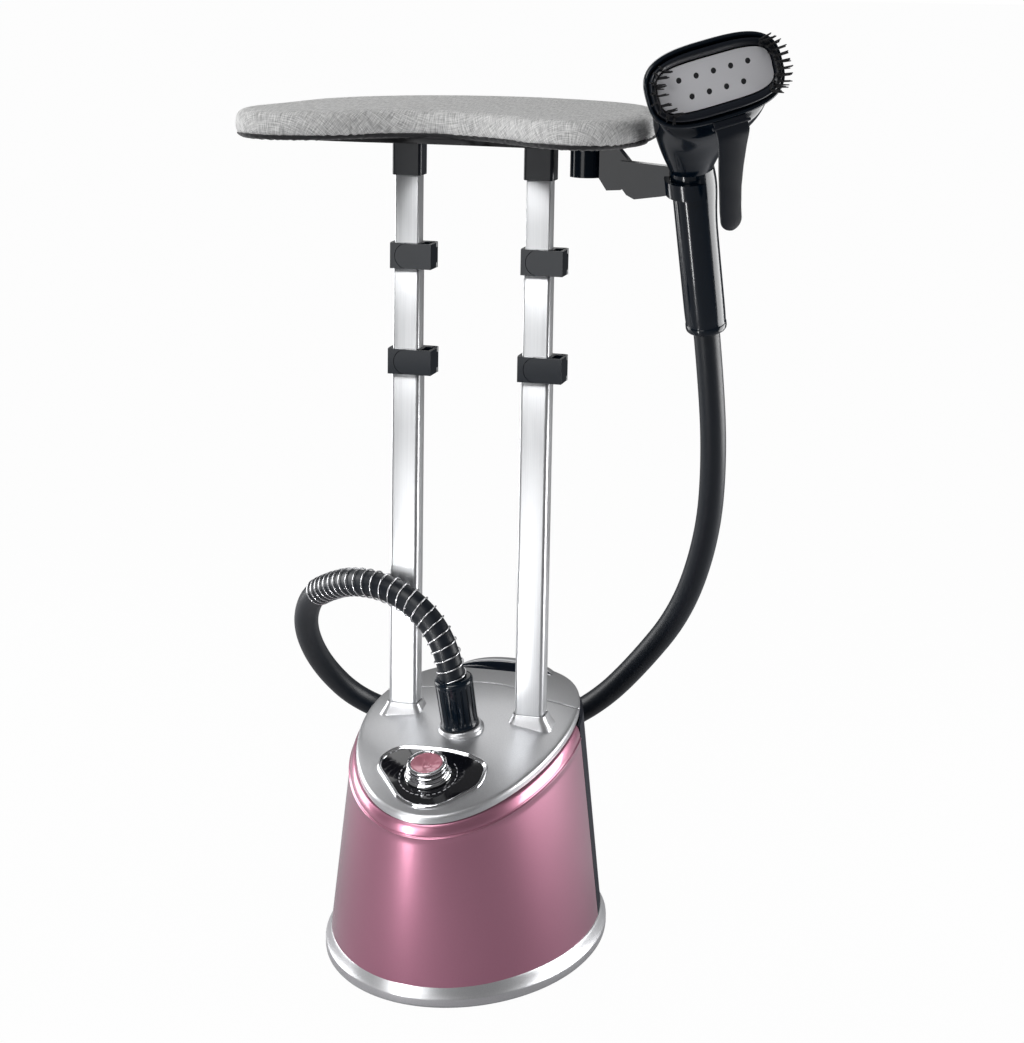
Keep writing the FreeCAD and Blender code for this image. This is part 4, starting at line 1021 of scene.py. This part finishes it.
TOP_Z, HEM_Z = 0.8760, 0.8515
COVER_ROLL = np.array([
    # inset and drop, mm
    (11.5, 0.0), (10.0, 0.4), (8.0, 0.8), (6.2, 1.4), (4.6, 2.2), (3.2, 3.3), (2.0, 4.9), (1.1, 6.8),
    (0.5, 9.0), (0.1, 11.6), (0.0, 14.4), (0.2, 17.0), (0.6, 19.4), (1.4, 21.4), (2.8, 23.2), (5.2, 24.4),
    (9.0, 25.0)])
SEAM_AT, SEAM_HALF = -0.093, 0.0011
pad_middle = np.array((0.0, 0.015))
flat = edge_loop - edge_out * (COVER_ROLL[0, 0] + 0.2) * MM
seam = np.exp(-((edge_loop[:, 0] - SEAM_AT) / SEAM_HALF)**2) * (edge_loop[:, 1] < 0)
pad_rows, cloth_rows = [], []
for share in np.linspace(0.02, 1, 30)[:-1]:
    p = pad_middle + (flat - pad_middle) * share
    pad_rows.append(at_height(p, TOP_Z + 0.0006 * (1 - share**2)))
    cloth_rows.append(p)
unrolled = along(COVER_ROLL) * MM
for (inset, drop), length in zip(COVER_ROLL, unrolled):
    low = np.clip((drop - 11) / 12, 0, 1)
    side = np.clip(drop / 6, 0, 1)
    gathers, swells = wave(edge_s, (0.0085, 0.0110, 0.0140), 3), wave(edge_s, (0.07, 0.11, 0.16), 8)
    push = 0.0009 * low * gathers + 0.0007 * side * swells - 0.0007 * side * seam
    p = edge_loop - edge_out * (inset * MM + 0.0002 - push[:, None])
    sag = 0.0008 * low * wave(edge_s, (0.09, 0.14, 0.05), 5)
    pad_rows.append(at_height(p, TOP_Z - drop * MM + sag))
    cloth_rows.append(flat + edge_out * length)
p = pad_middle + (flat - pad_middle) * 0.02
pad_rows.append(at_height(p, HEM_Z + 0.0002))
cloth_rows.append(p)
cover = skin("board_cover_skin", pad_rows, smooth=180)
cloth_at = np.vstack([np.vstack(cloth_rows), pad_middle, pad_middle])
place_on_cloth = cover.data.attributes.new("cloth", "FLOAT_VECTOR", "POINT")
place_on_cloth.data.foreach_set("vector", at_height(cloth_at, 0.0).astype(np.float32).ravel())
print("cover:", len(cover.data.vertices), "points, cloth places:", len(cloth_at))



# %% The linen
def linen():
    """Heathered linen. Slubs are noise drawn out 14 times along each thread direction of the flat cloth."""
    material, tree, shader = base_material("heathered_linen", Roughness=0.92, Sheen_Weight=0.2,
                                           Sheen_Roughness=0.5, Specular_IOR_Level=0.2)
    where = node(tree, "Attribute", attribute_name="cloth").outputs["Vector"]
    slubs = [noise(tree, drawn_out(tree, where, factors), 1050.0, 3.0, 0.6)
             for factors in ((0.07, 1.0, 1.0), (1.0, 0.07, 1.0))]
    threads = [node(tree, "TexWave", wave_type="BANDS", bands_direction=direction, in_Vector=where,
                    in_Scale=330.0, in_Distortion=1.2).outputs["Fac"] for direction in ("X", "Y")]
    slub = worked(tree, "MULTIPLY", worked(tree, "ADD", *slubs), 0.5)
    raised = worked(tree, "ADD", worked(tree, "MULTIPLY", *threads), slub)
    tint = ramp(tree, slub, ((0.33, 0.33, 0.332), (0.88, 0.88, 0.87)), (0.38, 0.60))
    fill(shader, in_Base_Color=tint, in_Normal=bumped(tree, raised, 0.45, 0.0005))
    return material


LINEN = linen()
show(cover, LINEN, "board_cloth", "upper_stage", "board_cover")

# %% The gathered hem under the cover
tray_loop = closed_spline(TRAY_EDGE, 900)
nearest = np.linalg.norm(edge_loop[:, None] - tray_loop[None], axis=2).argmin(axis=1)
tray_near = tray_loop[nearest]
hem_rows = []
for inset, z, gather in ((2.4, 853.6, 0.0), (1.7, 852.4, 0.5), (1.9, 851.2, 0.9), (3.0, 850.0, 1.0),
                         (5.0, 849.0, 1.0), (8.5, 848.4, 0.9)):
    ripple = wave(edge_s, (0.0085, 0.0102, 0.0127, 0.0062), 11) * gather
    p = edge_loop - edge_out * (inset * MM - 0.0012 * ripple[:, None])
    hem_rows.append(at_height(p, z * MM + 0.0008 * ripple))
underside = edge_loop - edge_out * 8.5 * MM
for share, z in ((0.35, 848.1), (0.7, 848.0), (1.0, 848.0), (0.97, 849.6), (0.5, 850.2)):
    hem_rows.append(at_height(underside + (tray_near - underside) * share, z * MM))
hem_rows.append(at_height(edge_loop - edge_out * 4.0 * MM, 852.4 * MM))
hem = band("gathered_hem", hem_rows, smooth=180)
HEM_CLOTH = moulded("black_cloth", (0.012, 0.012, 0.014), 0.85, 0.1, 120.0, 0.35, Sheen_Weight=0.2)
show(hem, HEM_CLOTH, "board_cloth", "upper_stage")
softened("board_tray", BLACK_MATT, "tray_plastic", "upper_stage", 1.0, 2)
print("board made")

# %% [markdown]
# ## The handset
#
# The handset is drawn in its own frame: X along the steam plate, Z up the handle and Y backwards. Its body is
# a loft of superellipses, |x/a|^p + |y/b|^p = 1, that turn from a round handle to the wide tilted head.

# %% The handset's frame and sections
UP = HANDLE_UP / np.linalg.norm(HANDLE_UP)
SIDE = HANDLE_SIDE / np.linalg.norm(HANDLE_SIDE)
BACK = np.cross(UP, SIDE)
HEAD_C = np.array((2.5, -61.5, 285.1))
HEAD_TILT = math.radians(19.0)
OUT_LOCAL = np.array((0.0, -math.cos(HEAD_TILT), math.sin(HEAD_TILT)))
ALONG_LOCAL = np.array((0.0, math.sin(HEAD_TILT), math.cos(HEAD_TILT)))
HANDLE_R, NECK_Z = 20.5, 178.0


def placed(local):
    """From the handset's own millimetres to the row frame."""
    local = np.asarray(local, float) * MM
    return HANDLE_FOOT + local[..., :1] * SIDE + local[..., 1:2] * BACK + local[..., 2:3] * UP


def section(a, b, centre, tilt, power, count=96):
    """A superellipse with half axes a and b, turned back by tilt degrees from level about X."""
    t = full_turn(count)
    x = a * np.sign(np.cos(t)) * np.abs(np.cos(t))**(2 / power)
    y = b * np.sign(np.sin(t)) * np.abs(np.sin(t))**(2 / power)
    c, s = math.cos(math.radians(tilt)), math.sin(math.radians(tilt))
    return xyz(centre[0] + x, centre[1] + y * c, centre[2] + y * s)


def in_head(u, v, w):
    """A point u along the plate, v up the plate and w out of it."""
    return HEAD_C + np.array((1.0, 0, 0)) * u + ALONG_LOCAL * v + OUT_LOCAL * w


def head_loop(a, b, w, power, count=160):
    return section(a, b, HEAD_C + OUT_LOCAL * w, 71.0, power, count)


HEAD_ROWS = np.array([
    # half x, half y, centre x, centre y, centre z, tilt, power
    (20.5, 20.5, 0.0, 0.0, 178.0, 0.0, 2.0),
    (31.0, 25.0, 1.0, -5.0, 200.0, 12.0, 2.1),
    (50.0, 29.0, 8.0, -17.0, 228.0, 32.0, 2.2),
    (60.0, 34.0, 7.0, -36.0, 258.0, 56.0, 2.5),
    (67.0, 37.0, 2.5, -46.4, 279.9, 71.0, 2.8),
    (72.5, 38.0, 2.5, -57.7, 283.8, 71.0, 3.0)])
stations = np.array((0.0, 0.20, 0.45, 0.70, 0.88, 1.0))


def smooth_rows(keys, at, wanted):
    """Each column of keys as a smooth function of the station: Catmull-Rom between the given stations."""
    slopes = np.gradient(keys, at, axis=0)
    k = np.clip(np.searchsorted(at, wanted, side="right") - 1, 0, len(at) - 2)
    h = (at[k + 1] - at[k])[:, None]
    t = ((wanted - at[k]) / (at[k + 1] - at[k]))[:, None]
    h00, h10, h01, h11 = 2 * t**3 - 3 * t**2 + 1, t**3 - 2 * t**2 + t, -2 * t**3 + 3 * t**2, t**3 - t**2
    return h00 * keys[k] + h10 * h * slopes[k] + h01 * keys[k + 1] + h11 * h * slopes[k + 1]


# %% Handle and head
HANDLE_START = 6.0
# How far the handle swells, at what height, and how far the swelling spreads.
SWELL, SWELL_Z, SWELL_SPREAD = 4.2, 160, 26


def handle_rows():
    """Round rows from the foot to the neck: a step ring at the foot, a fine parting groove at each side, and
    a low swelling towards the head on the side that faces the lever."""
    t = full_turn(160)
    groove = np.exp(-(np.sin(t) / 0.022)**2) * 0.35
    facing = np.clip(np.cos(t), 0, None)**3
    rows = []
    plan = [(14.2, 5.0), (14.2, 0.6), (14.8, 0.0), (18.4, 0.0), (19.6, 0.6), (20.3, 1.6), (20.6, 3.0),
            (20.6, 6.8), (20.5, 7.1), (20.2, 7.4)]
    plan = [(r, z + HANDLE_START) for r, z in plan]
    neck = np.linspace(HANDLE_START + 8.5, NECK_Z, 40)
    plan += [(HANDLE_R - 0.5 * math.exp(-(z - HANDLE_START - 7.4) / 6), z) for z in neck]
    for r, z in plan:
        cut = groove if HANDLE_START + 8 < z < NECK_Z - 2 else 0 * groove
        swell = SWELL * facing * math.exp(-((z - SWELL_Z) / SWELL_SPREAD)**2)
        radius = r - cut + swell
        rows.append(xyz(radius * np.cos(t), radius * np.sin(t), z))
    return rows


handle = skin("handle_skin", placed(np.array(handle_rows())), smooth=50)
show(handle, BLACK_GLOSS, "black_plastic", "handset", "handle_front", "handle_rear")

loops = []
for a, b, cx, cy, cz, tilt, power in smooth_rows(HEAD_ROWS, stations, np.linspace(0, 1, 56)):
    loops.append(section(a, b, (cx, cy, cz), tilt, power, 160))
for a, b, w in ((72.6, 38.0, -3.2), (72.5, 37.9, -2.0), (72.0, 37.4, -1.1), (71.3, 36.6, -0.6),
                (70.5, 35.6, -0.5), (69.9, 34.6, -0.9), (69.5, 33.6, -1.8), (69.2, 32.6, -3.4),
                (69.0, 32.0, -7.0), (67.5, 30.0, -12.0), (55.0, 18.0, -13.0)):
    loops.append(head_loop(a, b, w, 3.0))
head = skin("head_skin", placed(np.array(loops)), smooth=50)
show(head, BLACK_GLOSS, "black_plastic", "handset", "head_shell")

# %% Steam plate, brush frame and bristles
softened("steam_plate", PLATE, "plate_metal", "handset", 0.35, 2)
hole_uv = [(18.4 * k, 8.65) for k in range(-2, 3)] + [(18.4 * (k + 0.5), -8.65) for k in range(-2, 2)]
HOLE_R, HOLE_SIDES, HOLE_SHADE = 2.75, 24, (-2.6, -1.5)
wheel = [(HOLE_R * math.cos(a), HOLE_R * math.sin(a)) for a in full_turn(HOLE_SIDES)]
hole_points = np.array([in_head(u + du, v + dv, w)
                        for u, v in hole_uv for w in HOLE_SHADE for du, dv in wheel])
hole_faces = []
for first in range(0, len(hole_points), 2 * HOLE_SIDES):
    second = first + HOLE_SIDES
    hole_faces += [list(range(first, second))[::-1], list(range(second, second + HOLE_SIDES))]
    hole_faces += [(first + k, first + after, second + after, second + k)
                   for k, after in enumerate([*range(1, HOLE_SIDES), 0])]
plugs = mesh_object("steam_hole_shades", placed(hole_points), hole_faces, 40)
show(plugs, BLACK_MATT, "black_plastic", "handset")
print("steam holes:", len(hole_uv))
FRAME_PLAN = [(68.5, 31.5, -5.8), (68.5, 31.5, -0.4), (68.2, 31.2, 1.2), (67.4, 30.4, 2.2), (66.2, 29.2, 2.5),
              (64.8, 27.6, 2.1), (63.4, 25.8, 1.0), (62.2, 24.2, -0.4), (61.7, 23.5, -1.6), (61.6, 23.4, -5.8)]
frame_loops = [head_loop(a, b, w, 3.0 + 0.1 * k) for k, (a, b, w) in enumerate(FRAME_PLAN)]
frame_ring = band("brush_frame_skin", placed(np.array(frame_loops)))
show(frame_ring, BLACK_SATIN, "black_plastic", "brush", "brush_frame")


def spikes(bases, tips, radius, around=6):
    """Thin tapered bristles from each base to each tip, all in one mesh."""
    direction = tips - bases
    direction /= np.linalg.norm(direction, axis=1)[:, None]
    u = np.cross(direction, [0.3, 0.2, 0.93])
    u /= np.linalg.norm(u, axis=1)[:, None]
    v = np.cross(direction, u)
    t = full_turn(around)
    wheel = np.cos(t)[None, :, None] * u[:, None] + np.sin(t)[None, :, None] * v[:, None]
    low = bases[:, None] + radius * wheel
    high = tips[:, None] + radius * 0.5 * wheel
    points = np.concatenate([low, high], axis=1).reshape(-1, 3)
    k = np.arange(around)
    sides = np.stack([k, (k + 1) % around, around + (k + 1) % around, around + k], axis=1).tolist()
    one = sides + [list(k[::-1]), list(around + k)]
    faces = [[i + 2 * around * n for i in f] for n in range(len(bases)) for f in one]
    return mesh_object("bristles_skin", points, faces, 50)


def tuft_places():
    """Two arcs of tufts at each end: (u, v) on the frame, and how far each tuft flares out or leans in."""
    places = []
    for end, rows in ((-1, ((20.0, 25.2, 8), (17.4, 22.0, 7))), (1, ((20.0, 25.2, 11), (17.4, 22.0, 8)))):
        for ru, rv, count in rows:
            for a in np.radians(np.linspace(-70, 70, count)):
                places.append((end * (45.5 + ru * math.cos(a)), rv * math.sin(a), 1.12 if ru > 18 else 0.93))
    return np.array(places)


tufts = tuft_places()
per_tuft = 4
BRISTLE_R, BRISTLE_REACH = 1.05 * MM, (10.5, 13.5)
base_uv = np.repeat(tufts[:, :2], per_tuft, axis=0) + rng.normal(0, 0.7, (len(tufts) * per_tuft, 2))
flare = np.repeat(tufts[:, 2:], per_tuft, axis=0)
tip_uv = base_uv * (flare + rng.normal(0, 0.012, (len(base_uv), 1))) + rng.normal(0, 0.6, base_uv.shape)
reach_w = rng.uniform(*BRISTLE_REACH, len(base_uv))
bases = np.array([in_head(u, v, 1.6) for u, v in base_uv])
tips = np.array([in_head(u, v, w) for (u, v), w in zip(tip_uv, reach_w)])
bristles = spikes(placed(bases), placed(tips), BRISTLE_R)
show(bristles, BLACK_MATT, "bristle", "brush", "brush_bristles")


# %% The crease lever
TIP_START, TIP_LENGTH, BLADE_T = 93.0, 11.4, 3.0
# Below the hinge: how far down, and where the blade's two edges are.
LEVER_DROPS = np.array([
    (-8, -10.5, 24.5), (8, -10.4, 24.2), (23, -10.5, 19.7), (43, -12, 14.8), (63, -12.8, 11.2),
    (83, -13.8, 9.4), (93, -13.6, 9.2), (104.4, -13.6, 9.2)])


def lever_rows():
    """A blade 3 mm thick: level with the rim at its hinge, folded under it, then long, with a round tip."""
    y0, z0 = in_head(0, -43.5, -1.0)[1:]
    tip = TIP_START + TIP_LENGTH * np.sin(np.linspace(0, math.pi / 2, 20))
    drops = np.concatenate([np.linspace(-5, TIP_START - 0.1, 40), tip])
    low, high = (np.interp(drops, LEVER_DROPS[:, 0], LEVER_DROPS[:, k]) for k in (1, 2))
    middle, half = (low + high) / 2, (high - low) / 2
    past = np.clip(drops - TIP_START, 0, None) / (TIP_LENGTH + 0.05)
    half = half * np.sqrt(np.clip(1 - past**2, 0, None))
    low, high = middle - half, middle + half
    back = np.interp(drops, (-5, -2, 4, 8, 12, 104.4), (1.5, 0.4, -2.2, -3.9, -4.1, -1.0))
    rows = []
    for drop, left, right, dy in zip(drops, low, high, back):
        wide = right - left
        loop = rounded_rectangle(wide, BLADE_T, min(1.1, wide * 0.4), 0.0, (left + right) / 2, 0.0, corner=5)
        rows.append(loop + np.array((0.0, y0 + dy + BLADE_T / 2, z0 - drop)))
    return rows


lever = skin("crease_lever_skin", placed(np.array(lever_rows())), smooth=50)
show(lever, BLACK_SATIN, "black_plastic", "crease_lever", "crease_lever")
print("handset made")

# %% [markdown]
# ## Studio
#
# A white floor and a white world stand in for a product photographer's paper sweep. Large soft lamps draw
# long highlights down the lacquer and the tubes. The floor and the world show their own white only to rays
# from the camera and to those that pass through a clear part, so that they don't light the object too much.

# %% Floor, world and lamps
def studio_floor():
    floor = mesh_object("floor", [(-60, -60, 0), (60, -60, 0), (60, 90, 0), (-60, 90, 0)], [(0, 1, 2, 3)], 30)
    material = bpy.data.materials.new("floor_paper")
    material.use_nodes = True
    tree = material.node_tree
    tree.nodes.clear()
    rays = node(tree, "LightPath").outputs
    seen = worked(tree, "MAXIMUM", rays["Is Camera Ray"], rays["Is Transmission Ray"])
    paper = node(tree, "BsdfDiffuse", in_Color=(0.36, 0.36, 0.37, 1)).outputs[0]
    white = node(tree, "Emission", in_Color=(1, 1, 1, 1), in_Strength=1.0).outputs[0]
    mix = node(tree, "MixShader", in_Fac=worked(tree, "MULTIPLY", seen, 0.98), in_1=paper, in_2=white)
    node(tree, "OutputMaterial", in_Surface=mix.outputs[0])
    floor.data.materials.append(material)


def studio_world():
    world = bpy.data.worlds.new("studio")
    bpy.context.scene.world = world
    world.use_nodes = True
    tree = world.node_tree
    plain = fill(tree.nodes["Background"], in_Color=(1, 1, 1, 1), in_Strength=0.15)
    bright = node(tree, "Background", in_Color=(1, 1, 1, 1), in_Strength=1.0)
    mix = node(tree, "MixShader", in_Fac=node(tree, "LightPath").outputs["Is Camera Ray"],
               in_1=plain.outputs[0], in_2=bright.outputs[0])
    fill(tree.nodes["World Output"], in_Surface=mix.outputs[0])


def softbox(name, place, aim, size, watts):
    lamp = new_object(name, bpy.data.lights.new(name, "AREA"))
    lamp.data.shape = "RECTANGLE"
    lamp.data.size, lamp.data.size_y = size
    lamp.data.energy = watts
    lamp.location = place
    lamp.visible_camera = False
    lamp.rotation_euler = (Vector(aim) - Vector(place)).to_track_quat("-Z", "Y").to_euler()


bpy.context.scene.view_settings.view_transform = "Standard"
studio_floor()
studio_world()
softbox("key_softbox", (-0.55, -1.7, 2.5), (-0.2, -0.5, 0.0), (1.7, 1.5), 38)
softbox("strip_softbox", (-0.25, -0.62, 0.16), (0.0, -0.19, 0.13), (0.055, 0.28), 1.7)
softbox("left_softbox", (-1.4, 0.25, 0.6), (0, 0, 0.3), (0.9, 1.2), 16)
softbox("right_softbox", (1.15, 0.50, 0.40), (0, 0, 0.18), (0.9, 0.8), 15)
softbox("back_softbox", (-0.50, 1.0, 1.3), (0, -0.05, 0.25), (1.3, 0.8), 3.5)
softbox("front_softbox", (-0.75, -3.2, 0.75), (0, 0, 0.45), (1.3, 1.5), 13)
print("studio ready")
